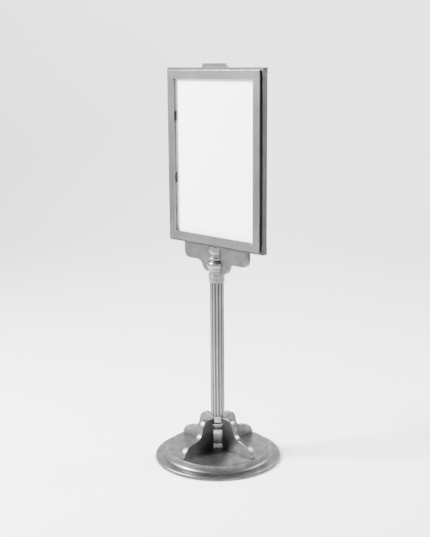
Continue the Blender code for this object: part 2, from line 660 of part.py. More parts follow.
def make_rails():
    lip_low = OPENING_Z0 - LIP_SETBACK
    lip_high = OPENING_Z1 + LIP_SETBACK
    side_low = SEAT_Z + GAP
    side_high = TOP_RAIL_Z0 - GAP

    side = [
        (LIP_X, LIP_FRONT), (SHADOW_X, LIP_FRONT), (SHADOW_X, BODY_FRONT), (BODY_X, BODY_FRONT),
        (BODY_X, BODY_BACK - RAIL_CHAMFER), (BODY_X - RAIL_CHAMFER, BODY_BACK), (REAR_X, BODY_BACK),
        (REAR_X, REAR_LIP_FRONT), (PANEL_GROOVE_X, REAR_LIP_FRONT), (PANEL_GROOVE_X, WEB_BACK),
        (LIP_X, WEB_BACK), (LIP_X, WEB_FRONT), (GROOVE_X, WEB_FRONT), (GROOVE_X, LIP_BACK),
        (LIP_X, LIP_BACK),
    ]
    bottom = [
        (BODY_FRONT, BODY_Z0), (BODY_BACK - RAIL_CHAMFER, BODY_Z0), (BODY_BACK, BODY_Z0 + RAIL_CHAMFER),
        (BODY_BACK, REAR_LIP_Z), (REAR_LIP_FRONT, REAR_LIP_Z), (REAR_LIP_FRONT, PANEL_Z0 - SLIDE),
        (WEB_BACK, PANEL_Z0 - SLIDE), (WEB_BACK, lip_low), (WEB_FRONT, lip_low), (WEB_FRONT, SEAT_Z),
        (LIP_BACK, SEAT_Z), (LIP_BACK, lip_low), (LIP_FRONT, lip_low),
        (LIP_FRONT, BEZEL_Z0 + SHADOW_DEPTH), (BODY_FRONT, BEZEL_Z0 + SHADOW_DEPTH),
    ]
    top = [
        (BODY_FRONT, BODY_Z1), (BODY_FRONT, BEZEL_Z1 - SHADOW_DEPTH), (LIP_FRONT, BEZEL_Z1 - SHADOW_DEPTH),
        (LIP_FRONT, lip_high), (LIP_BACK, lip_high), (LIP_BACK, TOP_RAIL_Z0), (WEB_BACK, TOP_RAIL_Z0),
        (WEB_BACK, PANEL_Z1 + SLIDE), (REAR_LIP_FRONT, PANEL_Z1 + SLIDE),
        (REAR_LIP_FRONT, TOP_RAIL_Z0), (BODY_BACK, TOP_RAIL_Z0), (BODY_BACK, BODY_Z1 - RAIL_CHAMFER),
        (BODY_BACK - RAIL_CHAMFER, BODY_Z1),
    ]
    bottom_rail = plate("bottom_rail", [bottom], 2 * BODY_X, ANODISED, ALONG_X)
    top_rail = plate("top_rail", [top], 2 * BODY_X, ANODISED, ALONG_X)
    length = side_high - side_low
    middle = (side_low + side_high) / 2
    rails = {}
    for name, sign in (("left", -1), ("right", 1)):
        outline = [(sign * x, y) for x, y in side]
        rails[name] = plate(name + "_rail", [outline], length, ANODISED, ALONG_Z, (0, 0, middle))

    far = 2 * OVERSHOOT
    for name, sign in (("left", -1), ("right", 1)):
        x0, x1 = sorted((sign * (LIP_X - GAP), sign * (BODY_X + far)))
        low = (x0, BODY_FRONT - far, SEAT_Z)
        high = (x1, BODY_BACK + far, SEAT_Z + far)
        cut(bottom_rail, box("bottom_end_" + name, low, high, None, cutters))
        low = (x0, BODY_FRONT - far, TOP_RAIL_Z0 - far)
        high = (x1, BODY_BACK + far, TOP_RAIL_Z0)
        cut(top_rail, box("top_end_" + name, low, high, None, cutters))
    low = (-GROOVE_X, LIP_BACK, TOP_RAIL_Z0 - far)
    high = (GROOVE_X, BAR_BACK + GAP, BODY_Z1 + far)
    cut(top_rail, box("insert_slot", low, high, None, cutters))

    cut(bottom_rail, cylinders("rail_rod_hole", [(0, 0)], BORE_R, BODY_Z0 - far, BODY_Z0 + far))
    cut(bottom_rail, cylinders("nut_pocket", [(0, 0)], NUT_R + NUT_POCKET_GAP, NUT_SEAT_Z, SEAT_Z + far))
    make_wing_screws(bottom_rail)
    make_keys(bottom_rail, top_rail, rails)
    make_pads(rails)
    make_bezel(rails)

    low = (-PANEL_X, PANEL_FRONT, PANEL_Z0)
    high = (PANEL_X, PANEL_FRONT + PANEL_T, PANEL_Z1)
    box("back_panel", low, high, PANEL)


def make_wing_screws(bottom_rail):
    """Screws down through the bottom rail into the wings, with sunk heads."""
    seat = SEAT_Z - GAP - WING_SCREW[1] - WING_SCREW_SINK
    spots = [(sign * x, 0) for sign in (-1, 1) for x in WING_SCREW_X]
    cut(bottom_rail, cylinders("wing_screw_holes", spots, WING_BORE_R, BODY_Z0 - OVERSHOOT, seat))
    heads = cylinders("wing_screw_heads", spots, WING_SCREW[0] + BORE_GAP, seat - GAP, SEAT_Z + OVERSHOOT)
    cut(bottom_rail, heads)
    for side, sign in (("left", -1), ("right", 1)):
        for label, x in zip(("inner", "outer"), WING_SCREW_X):
            fastener(
                "wing_screw_%s_%s" % (side, label), WING_SCREW, STEEL, (sign * x, 0, seat), (math.pi, 0, 0)
            )


def make_keys(bottom_rail, top_rail, rails):
    """Square keys that join each side rail to the rail above and below it."""
    x = BODY_X - KEY_FROM_EDGE
    for side, sign in (("left", -1), ("right", 1)):
        for level, joint_z, rail in (("bottom", SEAT_Z, bottom_rail), ("top", TOP_RAIL_Z0, top_rail)):
            centre = (sign * x, KEY_Y, joint_z)
            half = [s / 2 for s in KEY_SIZE]
            name = "corner_key_%s_%s" % (level, side)
            low = [c - h for c, h in zip(centre, half)]
            high = [c + h for c, h in zip(centre, half)]
            box(name, low, high, STEEL)
            pocket = box(
                name + "_pocket", [v - GAP for v in low], [v + GAP for v in high], None, cutters
            )
            cut(rail, pocket)
            cut(rails[side], pocket)


def make_pads(rails):
    """Nylon pads let into the front lips, which steady the insert and show in the opening."""
    for side, sign in (("left", -1), ("right", 1)):
        for level, rise in PAD_RISES.items():
            z = BODY_Z0 + rise
            x0, x1 = sorted((sign * (OPENING_X - PAD_SHOWN), sign * (OPENING_X - PAD_SHOWN + PAD_W)))
            low = (x0, LIP_FRONT, z - PAD_H / 2)
            high = (x1, LIP_BACK, z + PAD_H / 2)
            name = "guide_pad_%s_%s" % (level, side)
            box(name, low, high, NYLON)
            low = (x0 - GAP, LIP_FRONT - 0.005, low[2] - GAP)
            high = (x1 + GAP, LIP_BACK + 0.001, high[2] + GAP)
            cut(rails[side], box(name + "_notch", low, high, None, cutters))


def make_bezel(rails):
    """One-piece front frame and the screws that hold it from behind."""
    outer = rectangle(-BEZEL_X, BEZEL_Z0, BEZEL_X, BEZEL_Z1)
    inner = rectangle(-OPENING_X, OPENING_Z0, OPENING_X, OPENING_Z1)
    middle = (0, (BEZEL_FRONT + BEZEL_BACK) / 2, 0)
    bezel = plate("front_bezel", [outer, inner], BEZEL_T, ANODISED, location=middle)
    x = (PANEL_GROOVE_X + BEZEL_X) / 2
    seat = BODY_BACK - BEZEL_SCREW_SINK
    length = seat - BEZEL_BACK + BEZEL_SCREW_BITE
    size = (*BEZEL_SCREW_HEAD, BEZEL_SCREW_SHANK_R, length)
    for side, sign in (("left", -1), ("right", 1)):
        spots = [(sign * x, BODY_Z0 + rise) for rise in BEZEL_SCREW_RISES.values()]
        shank_r = size[2] + BORE_GAP
        shank = cylinders("bezel_screw_holes_" + side, spots, shank_r, seat - length - GAP, seat, "Y")
        head = cylinders(
            "bezel_screw_heads_" + side, spots, size[0] + BORE_GAP, seat - GAP, BODY_BACK + OVERSHOOT, "Y"
        )
        cut(rails[side], shank)
        cut(rails[side], head)
        cut(bezel, shank)
        for level, rise in BEZEL_SCREW_RISES.items():
            where = (sign * x, seat, BODY_Z0 + rise)
            fastener("bezel_screw_%s_%s" % (level, side), size, STEEL, where, (math.pi / 2, 0, 0))


# ---- Poster insert, the piece that lifts out ----
def make_insert():
    axis = bpy.data.objects.new("insert_slide", None)
    parts.objects.link(axis)
    pieces = []
    for name, front, thickness, mat in (
        ("acrylic_pane", PANE_FRONT, PANE_T, ACRYLIC),
        ("poster_sheet", POSTER_FRONT, POSTER_T, PAPER),
        ("backing_board", BOARD_FRONT, BOARD_T, BOARD),
    ):
        low = (-PAPER_W / 2, front, PAPER_Z0)
        high = (PAPER_W / 2, front + thickness, PAPER_Z1)
        pieces.append(box(name, low, high, mat))

    lip = CHANNEL_Z0 + CHANNEL_LIP
    floor = CHANNEL_Z0 + CHANNEL_WALL
    channel = [
        (INSERT_FRONT, CHANNEL_Z0), (INSERT_BACK, CHANNEL_Z0), (INSERT_BACK, lip), (SHEETS_BACK, lip),
        (SHEETS_BACK, floor), (INSERT_FRONT + CHANNEL_WALL, floor), (INSERT_FRONT + CHANNEL_WALL, lip),
        (INSERT_FRONT, lip),
    ]
    pieces.append(plate("bottom_channel", [channel], 2 * INSERT_X, ANODISED, ALONG_X))

    low = PAPER_Z1 - BAR_GRIP
    roof = PAPER_Z1 + GAP
    bar = [
        (INSERT_FRONT, low), (INSERT_FRONT + CHANNEL_WALL, low), (INSERT_FRONT + CHANNEL_WALL, roof),
        (SHEETS_BACK, roof), (SHEETS_BACK, low), (INSERT_BACK, low), (INSERT_BACK, TOP_RAIL_Z0 + GAP),
        (BAR_BACK, TOP_RAIL_Z0 + GAP), (BAR_BACK, BODY_Z1), (INSERT_FRONT, BODY_Z1),
    ]
    pull_bar = plate("pull_bar", [bar], 2 * INSERT_X, ANODISED, ALONG_X)
    top = BODY_Z1 + TAB_H
    narrow = TAB_HALF_W - TAB_TAPER
    tab = [
        (-TAB_HALF_W, BODY_Z1 - 0.008), (TAB_HALF_W, BODY_Z1 - 0.008), (TAB_HALF_W, BODY_Z1 + 0.004),
        (narrow + 0.001, top - 0.002), (narrow - 0.001, top), (-narrow + 0.001, top),
        (-narrow - 0.001, top - 0.002), (-TAB_HALF_W, BODY_Z1 + 0.004),
    ]
    middle = (0, BAR_BACK - 0.001 - TAB_DEPTH / 2, 0)
    tab_block = plate("pull_tab_block", [tab], TAB_DEPTH, ANODISED, location=middle)
    parts.objects.unlink(tab_block)
    cutters.objects.link(tab_block)
    tab_block.hide_render = True
    tab_block.display_type = "WIRE"
    cut(pull_bar, tab_block, "UNION")
    pieces.append(pull_bar)
    for piece in pieces:
        piece.parent = axis


bottom_nut_z0 = make_foot()
make_fins()
make_column()
make_neck()
make_wings()
make_rod(bottom_nut_z0)
make_rails()
make_insert()

for part in parts.objects:
    if part.type == "MESH" and part.data.polygons:
        part.data.shade_smooth()
        part.data.set_sharp_from_angle(angle=SHARP_ANGLE)
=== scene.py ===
# %% [markdown]
# # A museum sign stand
# A heavy round foot, four cast fins round a hub, a fluted column, a turned neck with two cast
# brackets, and a sign frame whose poster lifts out of the top. The solids that carry the design
# are loaded first and never move. Each piece that shows then gets a finer surface in the same
# place, worked out as arrays of points, and each surface gets the finish of its real material.

# %% Load the frame
import math

import bmesh
import bpy
import numpy as np
from mathutils import Matrix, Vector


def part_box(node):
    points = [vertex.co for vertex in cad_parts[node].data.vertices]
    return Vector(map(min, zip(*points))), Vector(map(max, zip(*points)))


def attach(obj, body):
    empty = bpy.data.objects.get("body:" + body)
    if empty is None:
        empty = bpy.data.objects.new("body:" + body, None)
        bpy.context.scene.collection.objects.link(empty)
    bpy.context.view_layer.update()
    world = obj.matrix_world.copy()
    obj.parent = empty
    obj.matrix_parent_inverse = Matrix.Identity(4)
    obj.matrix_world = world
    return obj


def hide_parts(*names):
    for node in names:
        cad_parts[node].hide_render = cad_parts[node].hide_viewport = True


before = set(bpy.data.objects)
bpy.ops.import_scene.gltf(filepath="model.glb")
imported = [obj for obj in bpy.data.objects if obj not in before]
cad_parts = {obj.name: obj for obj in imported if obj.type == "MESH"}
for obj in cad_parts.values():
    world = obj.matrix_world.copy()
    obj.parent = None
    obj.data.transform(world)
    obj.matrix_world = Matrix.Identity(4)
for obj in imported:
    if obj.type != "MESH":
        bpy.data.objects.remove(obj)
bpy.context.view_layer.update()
print("%d solids loaded" % len(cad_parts))

# %% [markdown]
# ## Outlines
# Metal edges are never quite sharp: a casting leaves its mould with rounded corners and a turned
# piece has its edges broken with a file. Those small arcs are what catch the light. So outlines
# are written as corners with a radius each, and one helper turns them into arcs. It also holds a
# point just past each arc, which keeps the flats flat when the faces are shaded smooth.


# %% Corners with a radius become arcs
HOLD = 0.0004  # m from the end of an arc to the point that holds the flat
MOST_ARC = 0.45  # of the shorter side that an arc may take up
MOST_HOLD = 0.04  # of the shorter side that the held point may take up
NEARLY_STRAIGHT = math.radians(89)  # half the angle of a corner that needs no arc


def winding(points):
    """1 for an outline that runs anticlockwise and -1 for the other way, from its signed area."""
    after = np.roll(points, -1, axis=0)
    return np.sign(np.sum(points[:, 0] * after[:, 1] - points[:, 1] * after[:, 0]))


def rounded(corners, steps=4, hold=HOLD):
    """A closed outline from corners (x, y, radius), each rounded by an arc that touches both sides.

    The centre lies on the corner's bisector, at radius / sin(half the angle) from it. Returns the
    points, and for each of them its bend: 1 on an outer corner, -1 on an inner one, 0 on a flat.
    """
    xy = np.array([corner[:2] for corner in corners], float)
    after = np.roll(xy, -1, axis=0)
    way = winding(xy)
    points, bends = [], []
    for i, (_, _, radius) in enumerate(corners):
        here = xy[i]
        back, ahead = xy[i - 1] - here, after[i] - here
        room = min(np.linalg.norm(back), np.linalg.norm(ahead))
        back, ahead = back / np.linalg.norm(back), ahead / np.linalg.norm(ahead)
        half = math.acos(np.clip(back @ ahead, -1, 1)) / 2
        if radius <= 0 or half > NEARLY_STRAIGHT:
            points.append(here[None])
            bends.append([0.0])
            continue
        reach = min(radius / math.tan(half), MOST_ARC * room)
        centre = here + (back + ahead) / np.linalg.norm(back + ahead) * reach / math.cos(half)
        first = here + back * reach - centre
        last = here + ahead * reach - centre
        start = math.atan2(first[1], first[0])
        sweep = (math.atan2(last[1], last[0]) - start + math.pi) % (2 * math.pi) - math.pi
        angles = start + sweep * np.linspace(0, 1, steps + 1)
        arc = centre + np.linalg.norm(first) * np.column_stack([np.cos(angles), np.sin(angles)])
        kept = reach + min(hold, MOST_HOLD * room)
        points.append(np.vstack([here + back * kept, arc, here + ahead * kept]))
        bends.append([0.0] + [np.sign(sweep) * way] * (steps + 1) + [0.0])
    return np.vstack(points), np.concatenate(bends)


def bezier(start, leave, arrive, end, steps=12):
    """A cubic curve without its last point: its four points weighted by the powers of t and 1 - t."""
    t = np.arange(steps)[:, None] / steps
    pull = 3 * (1 - t) ** 2 * t * np.array(leave) + 3 * (1 - t) * t**2 * np.array(arrive)
    return (1 - t) ** 3 * np.array(start) + pull + t**3 * np.array(end)


def unrounded(points):
    """Points of a curve as corners with no radius, to go in among the corners of an outline."""
    return [(x, y, 0.0) for x, y in points]


print("outline helpers ready")

# %% [markdown]
# ## Surfaces
# Every new piece here is a stack of closed rings of points. A turned piece stacks circles along its
# profile, a bar stacks copies of its section, and a cast plate stacks its outline, drawn in a
# little at each face. The rings are one array of (ring, point, xyz), so one helper makes any mesh:
# quads between neighbouring rings, then either a join from the last ring to the first, or a flat
# cap at each end. The bend of each point is kept as an attribute, which the finishes read.


# %% From rings to a mesh
def quads_between(count, around, joined=False):
    """Each point with its neighbours on the next ring: the four corners of every face."""
    near = np.arange(count if joined else count - 1)[:, None] * around
    far = (near + around) % (count * around)
    here = np.arange(around)[None, :]
    ahead = (here + 1) % around
    return np.stack([near + here, far + here, far + ahead, near + ahead], -1).reshape(-1, 4).tolist()


def surface(name, rings, bends, joined=False):
    """A closed mesh from rings, an array of (ring, point, xyz), with its faces turned outwards."""
    count, around = rings.shape[:2]
    faces = quads_between(count, around, joined)
    if not joined:
        faces += [list(range(around)), list(range((count - 1) * around, count * around))]
    mesh = bpy.data.meshes.new(name)
    mesh.from_pydata(rings.reshape(-1, 3).tolist(), [], faces)
    bend = mesh.attributes.new("bend", "FLOAT", "POINT")
    bend.data.foreach_set("value", np.broadcast_to(bends, (count, around)).astype(np.float32).ravel())
    bm = bmesh.new()
    bm.from_mesh(mesh)
    bmesh.ops.remove_doubles(bm, verts=bm.verts, dist=0.000001)
    bmesh.ops.recalc_face_normals(bm, faces=bm.faces)
    bm.to_mesh(mesh)
    bm.free()
    return linked(name, mesh)


def linked(name, mesh):
    """An object with this mesh, in the scene."""
    piece = bpy.data.objects.new(name, mesh)
    bpy.context.scene.collection.objects.link(piece)
    return piece


def settle(piece, body, finish, nodes, sharp=35):
    """Shades a piece, gives it its finish and its body, and hides the CAD nodes that it stands for."""
    piece.data.shade_smooth()
    piece.data.set_sharp_from_angle(angle=math.radians(sharp))
    piece.data.materials.clear()
    piece.data.materials.append(finish)
    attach(piece, body)
    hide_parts(*nodes)
    print("%-24s %6d faces on %s" % (piece.name, len(piece.data.polygons), body))
    return piece


def span(node):
    """Lowest and highest corner of a CAD node, as arrays."""
    low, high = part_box(node)
    return np.array(low), np.array(high)


# %% [markdown]
# ## Building a finish
# A finish is a small network of nodes. Three short helpers keep it readable: one adds a node and
# wires its inputs, one adds a sum, and one mixes two colours. An effect that several finishes
# share, such as grain or dust, becomes a node group with named inputs and outputs.


# %% Node helpers
def add(tree, kind, values=None, **settings):
    """One node. The settings are its own; each value goes to an input, as a constant or a link."""
    node = tree.nodes.new("ShaderNode" + kind)
    for key, value in settings.items():
        setattr(node, key, value)
    for key, value in (values or {}).items():
        if isinstance(value, bpy.types.NodeSocket):
            tree.links.new(value, node.inputs[key])
        else:
            node.inputs[key].default_value = value
    return node


def maths(tree, operation, *values, clamp=False):
    """The result of one sum."""
    return add(tree, "Math", dict(enumerate(values)), operation=operation, use_clamp=clamp).outputs[0]


def between(tree, value, low, high, to_low=0.0, to_high=1.0):
    """The value's place between low and high, eased at both ends, as a number from to_low to to_high."""
    ramp = {"Value": value, 1: low, 2: high, 3: to_low, 4: to_high}
    return add(tree, "MapRange", ramp, interpolation_type="SMOOTHSTEP").outputs[0]


def noise(tree, point, scale, detail):
    """A soft noise; scale is its lumps per metre, and detail adds finer layers."""
    return add(tree, "TexNoise", {"Vector": point, "Scale": scale, "Detail": detail}).outputs["Fac"]


def mixed(tree, share, first, second):
    """The second colour over the first, by share."""
    colours = {0: share, 6: first, 7: second}
    return add(tree, "Mix", colours, data_type="RGBA").outputs[2]


def effect(name, inputs, outputs):
    """An empty node group. A None input is a vector; the rest are numbers with those defaults."""
    group = bpy.data.node_groups.new(name, "ShaderNodeTree")
    for label, value in inputs.items():
        kind = "NodeSocketVector" if value is None else "NodeSocketFloat"
        socket = group.interface.new_socket(label, in_out="INPUT", socket_type=kind)
        if value is not None:
            socket.default_value = value
    for label in outputs:
        group.interface.new_socket(label, in_out="OUTPUT", socket_type="NodeSocketFloat")
    source = group.nodes.new("NodeGroupInput")
    sink = group.nodes.new("NodeGroupOutput")
    return group, source.outputs, sink.inputs


def use(tree, group, values):
    """A group placed in a finish, with its own values."""
    return add(tree, "Group", values, node_tree=group).outputs


print("node helpers ready")

# %% [markdown]
# ## Shared effects: grain
# Three kinds of grain tell how a piece of metal was made. A casting keeps the soft pebbling of
# its mould under the satin of the blasting cabinet. A turned piece keeps fine rings from the
# tool, which follow its radius and its height. A drawn or brushed bar keeps long straight lines.
# Each group gives a height for the bump and a slower tone that varies colour and roughness.


# %% Casting skin
def make_casting_skin():
    """Pebbles under a fine noise, and slow clouds; Grain is the fine noise's scale."""
    tree, given, result = effect("casting_skin", {"Point": None, "Grain": 900.0}, ["Height", "Tone"])
    fine = noise(tree, given["Point"], given["Grain"], 3.0)
    pebble_scale = maths(tree, "MULTIPLY", given["Grain"], 0.35)
    pebbles = add(
        tree, "TexVoronoi", {"Vector": given["Point"], "Scale": pebble_scale, "Smoothness": 0.6},
        feature="SMOOTH_F1",
    )
    cloud_scale = maths(tree, "MULTIPLY", given["Grain"], 0.03)
    clouds = noise(tree, given["Point"], cloud_scale, 4.0)
    height = maths(tree, "MULTIPLY_ADD", pebbles.outputs["Distance"], 0.5, fine)
    tree.links.new(height, result["Height"])
    tree.links.new(clouds, result["Tone"])
    return tree


casting_skin = make_casting_skin()
print(casting_skin.name)


# %% Lathe rings
def make_lathe_rings():
    """Rings round the Z axis: a noise that sees only the distance from the axis and the height."""
    tree, given, result = effect("lathe_rings", {"Point": None, "Pitch": 1400.0}, ["Height", "Tone"])
    parts = add(tree, "SeparateXYZ", {"Vector": given["Point"]}).outputs
    flat = add(tree, "CombineXYZ", {"X": parts["X"], "Y": parts["Y"]})
    radius = add(tree, "VectorMath", {0: flat.outputs[0]}, operation="LENGTH").outputs["Value"]
    profile = add(tree, "CombineXYZ", {"X": radius, "Z": parts["Z"]}).outputs[0]
    rings = noise(tree, profile, given["Pitch"], 2.0)
    band_scale = maths(tree, "MULTIPLY", given["Pitch"], 0.08)
    bands = noise(tree, profile, band_scale, 3.0)
    haze = noise(tree, given["Point"], 30.0, 3.0)
    half = maths(tree, "MULTIPLY", bands, 0.5)
    tone = maths(tree, "MULTIPLY_ADD", haze, 0.5, half)
    tree.links.new(rings, result["Height"])
    tree.links.new(tone, result["Tone"])
    return tree


lathe_rings = make_lathe_rings()
print(lathe_rings.name)


# %% Drawn lines
def make_drawn_lines():
    """Long lines: a noise whose point is squeezed along the direction in which the bar was drawn."""
    tree, given, result = effect("drawn_lines", {"Point": None, "Stretch": None}, ["Height", "Tone"])
    squeezed = add(tree, "VectorMath", {0: given["Point"], 1: given["Stretch"]}, operation="MULTIPLY")
    lines = noise(tree, squeezed.outputs[0], 1.0, 3.0)
    broad = noise(tree, squeezed.outputs[0], 0.12, 2.0)
    haze = noise(tree, given["Point"], 14.0, 3.0)
    half = maths(tree, "MULTIPLY", broad, 0.5)
    tone = maths(tree, "MULTIPLY_ADD", haze, 0.5, half)
    tree.links.new(lines, result["Height"])
    tree.links.new(tone, result["Tone"])
    return tree


drawn_lines = make_drawn_lines()
print(drawn_lines.name)

# %% [markdown]
# ## Shared effects: age and painted shade
# A stand in a gallery is wiped, leaned on and moved. Its outer corners are rubbed brighter, its
# upward faces hold a little dust, and hands leave dull patches and hairlines. Its inner corners
# are painted darker, as painted shade. The wear, dust and marks are kept faint, because the real
# ones are: they break up the highlights and no more.


# %% Edge wear and painted shade, dust and handling
def make_wear_and_crevice_shade():
    """Rubbed on outer corners (bend 1), and painted shade on inner ones (bend -1), both broken into patches.
    """
    values = {"Point": None, "Bend": 0.0, "Share": 0.7}
    tree, given, result = effect("edge_wear_and_crevice_shade", values, ["Rubbed", "PaintedShade"])
    patches = noise(tree, given["Point"], 55.0, 4.0)
    broken = between(tree, patches, 0.40, 0.62)
    outer = maths(tree, "MULTIPLY", maths(tree, "MAXIMUM", given["Bend"], 0.0), given["Share"])
    # Inner corners (bend -1) are where the painted shade goes
    inner = maths(tree, "MAXIMUM", maths(tree, "MULTIPLY", given["Bend"], -1.0), 0.0)
    tree.links.new(maths(tree, "MULTIPLY", outer, broken, clamp=True), result["Rubbed"])
    # Patches of the painted shade that darkens inner corners
    cover = between(tree, patches, 0.25, 0.55, 0.6, 1.0)
    tree.links.new(maths(tree, "MULTIPLY", inner, cover, clamp=True), result["PaintedShade"])
    return tree


def make_settled_dust():
    """Dust on faces that look up: specks inside slow drifts."""
    values = {"Point": None, "Normal": None, "Amount": 0.3}
    tree, given, result = effect("settled_dust", values, ["Dust"])
    up = add(tree, "SeparateXYZ", {"Vector": given["Normal"]}).outputs["Z"]
    facing = between(tree, up, 0.55, 1.0)
    specks = noise(tree, given["Point"], 380.0, 2.0)
    drifts = noise(tree, given["Point"], 18.0, 4.0)
    cover = maths(tree, "MULTIPLY", between(tree, specks, 0.35, 0.75), between(tree, drifts, 0.30, 0.80))
    amount = maths(tree, "MULTIPLY", cover, given["Amount"])
    tree.links.new(maths(tree, "MULTIPLY", facing, amount, clamp=True), result["Dust"])
    return tree


def make_handling():
    """Wide smudges, and thin lines from a noise that is squeezed hard along one slanted direction."""
    tree, given, result = effect("handling_marks", {"Point": None}, ["Smudge", "Hairline"])
    wide = add(tree, "TexNoise", {"Vector": given["Point"], "Scale": 9.0, "Detail": 5.0, "Distortion": 0.6})
    tree.links.new(between(tree, wide.outputs["Fac"], 0.42, 0.68), result["Smudge"])
    turned = add(
        tree, "Mapping", {"Vector": given["Point"], "Rotation": (0.5, 0.9, 0.3), "Scale": (6.0, 520.0, 90.0)}
    )
    lines = noise(tree, turned.outputs[0], 1.0, 1.0)
    tree.links.new(between(tree, lines, 0.73, 0.78), result["Hairline"])
    return tree


edge_wear_and_crevice_shade = make_wear_and_crevice_shade()
settled_dust = make_settled_dust()
handling_marks = make_handling()
print(edge_wear_and_crevice_shade.name, settled_dust.name, handling_marks.name)

# %% [markdown]
# ## Metal finishes
# The stand is aluminium anodised a gunmetal grey: the rails and castings darkest, the front frame,
# the turned pieces and the column lighter. All the metals share one build. The grain's tone moves
# the colour between two close greys, rubbed corners go brighter and smoother, inner corners get a
# painted shade that darkens them, dust goes duller, and the grain and hairlines go into the bump.
# What differs is the grain, its depth and how polished the metal is.

# %% The common metal
DUST = (0.60, 0.59, 0.57, 1.0)
# Near black of the painted shade laid into inner corners, flute floors and socket floors
PAINTED_SHADE = (0.05, 0.049, 0.047, 1.0)
BUMP_STRENGTH = 0.6
RUBBED_METAL = 1.7  # times the light grey
RUBBED_PAINT = 1.12
RUBBED_SMOOTHER = -0.10  # added to the roughness
DUST_DULLER = 0.30
SMUDGE_DULLER = 0.05
METAL_SWING = 0.03  # of roughness, either way with the tone
PAINT_SWING = 0.04
HAIRLINE_DEPTH = -0.35  # of the grain's height


def start_finish(name):
    """A new material's tree, its shader, and the points and bends of the piece's surface."""
    mat = bpy.data.materials.new(name)
    mat.use_nodes = True
    tree = mat.node_tree
    point = add(tree, "TexCoord").outputs["Object"]
    bend = add(tree, "Attribute", attribute_name="bend").outputs["Fac"]
    return mat, tree, tree.nodes["Principled BSDF"], point, bend


def dust_on(tree, point, amount):
    """How much dust lies on each point of the surface."""
    normal = add(tree, "NewGeometry").outputs["Normal"]
    return use(tree, settled_dust, {"Point": point, "Normal": normal, "Amount": amount})["Dust"]


def dress(tree, shader, colour, rough, height, depth):
    """Colour, roughness, and a bump from the height, which is depth metres deep."""
    bump = add(tree, "Bump", {"Height": height, "Strength": BUMP_STRENGTH, "Distance": depth})
    tree.links.new(colour, shader.inputs["Base Color"])
    tree.links.new(rough, shader.inputs["Roughness"])
    tree.links.new(bump.outputs[0], shader.inputs["Normal"])


def metal(name, light, dark, roughness, grain, grain_values, depth, crevice_shade=0.8, dust=0.25):
    """Metal: two close greys, a mean roughness, a grain with its depth in metres, and painted shade in inner
    corners, as strong as given.
    """
    mat, tree, shader, point, bend = start_finish(name)
    skin = use(tree, grain, {"Point": point, **grain_values})
    wear_and_shade = use(tree, edge_wear_and_crevice_shade, {"Point": point, "Bend": bend})
    marks = use(tree, handling_marks, {"Point": point})
    dusty = dust_on(tree, point, dust)
    tone = between(tree, skin["Tone"], 0.35, 0.65)
    colour = mixed(tree, tone, (*dark, 1.0), (*light, 1.0))
    bright = tuple(channel * RUBBED_METAL for channel in light)
    colour = mixed(tree, wear_and_shade["Rubbed"], colour, (*bright, 1.0))
    # Painted shade: inner corners are darkened towards the near black
    colour = mixed(tree, maths(tree, "MULTIPLY", wear_and_shade["PaintedShade"], crevice_shade, clamp=True), colour, PAINTED_SHADE)
    colour = mixed(tree, dusty, colour, DUST)
    rough = between(tree, tone, 0.0, 1.0, roughness + METAL_SWING, roughness - METAL_SWING)
    rough = maths(tree, "MULTIPLY_ADD", marks["Smudge"], SMUDGE_DULLER, rough)
    rough = maths(tree, "MULTIPLY_ADD", wear_and_shade["Rubbed"], RUBBED_SMOOTHER, rough)
    rough = maths(tree, "MULTIPLY_ADD", dusty, DUST_DULLER, rough, clamp=True)
    height = maths(tree, "MULTIPLY_ADD", marks["Hairline"], HAIRLINE_DEPTH, skin["Height"])
    shader.inputs["Metallic"].default_value = 1.0
    dress(tree, shader, colour, rough, height, depth)
    return mat


CAST = metal(
    "satin_cast_aluminium", (0.125, 0.126, 0.129), (0.088, 0.089, 0.092), 0.36,
    casting_skin, {"Grain": 900.0}, 0.00012,
)
TURNED = metal(
    "turned_aluminium", (0.24, 0.242, 0.246), (0.16, 0.162, 0.166), 0.25,
    lathe_rings, {"Pitch": 1500.0}, 0.00006,
)
ACROSS = (5.0, 1500.0, 1500.0)  # lines along X
UPWARD = (1500.0, 1500.0, 5.0)  # lines along Z
# The column's flute bottoms get a strong painted shade, as dark lines
COLUMN = metal(
    "drawn_column_aluminium", (0.21, 0.212, 0.216), (0.155, 0.157, 0.161), 0.26,
    drawn_lines, {"Stretch": UPWARD}, 0.00005, crevice_shade=2.2,
)
FRONT = metal(
    "anodised_front_frame", (0.185, 0.186, 0.189), (0.145, 0.146, 0.149), 0.32,
    drawn_lines, {"Stretch": UPWARD}, 0.00005,
)
RAIL = ((0.10, 0.101, 0.103), (0.076, 0.077, 0.079), 0.34, drawn_lines)
RAIL_ACROSS = metal("anodised_rail_across", *RAIL, {"Stretch": ACROSS}, 0.000015)
RAIL_UPWARD = metal("anodised_rail_upward", *RAIL, {"Stretch": UPWARD}, 0.00005)
ZINC = metal(
    "zinc_plated_steel", (0.50, 0.505, 0.52), (0.38, 0.385, 0.40), 0.32,
    casting_skin, {"Grain": 1600.0}, 0.00004,
)
IRON = metal(
    "grey_iron", (0.23, 0.23, 0.235), (0.13, 0.13, 0.135), 0.62,
    casting_skin, {"Grain": 500.0}, 0.0004,
)
print("8 metals")

# %% [markdown]
# ## Finishes that are not metal
# Paint, rubber, nylon, paper and board scatter light inside themselves, so their metallic value
# is zero and their grain is softer. The acrylic is clear: it bends light, and it lets light
# through to the poster behind it, so its shadow is left out by a transparent shader.


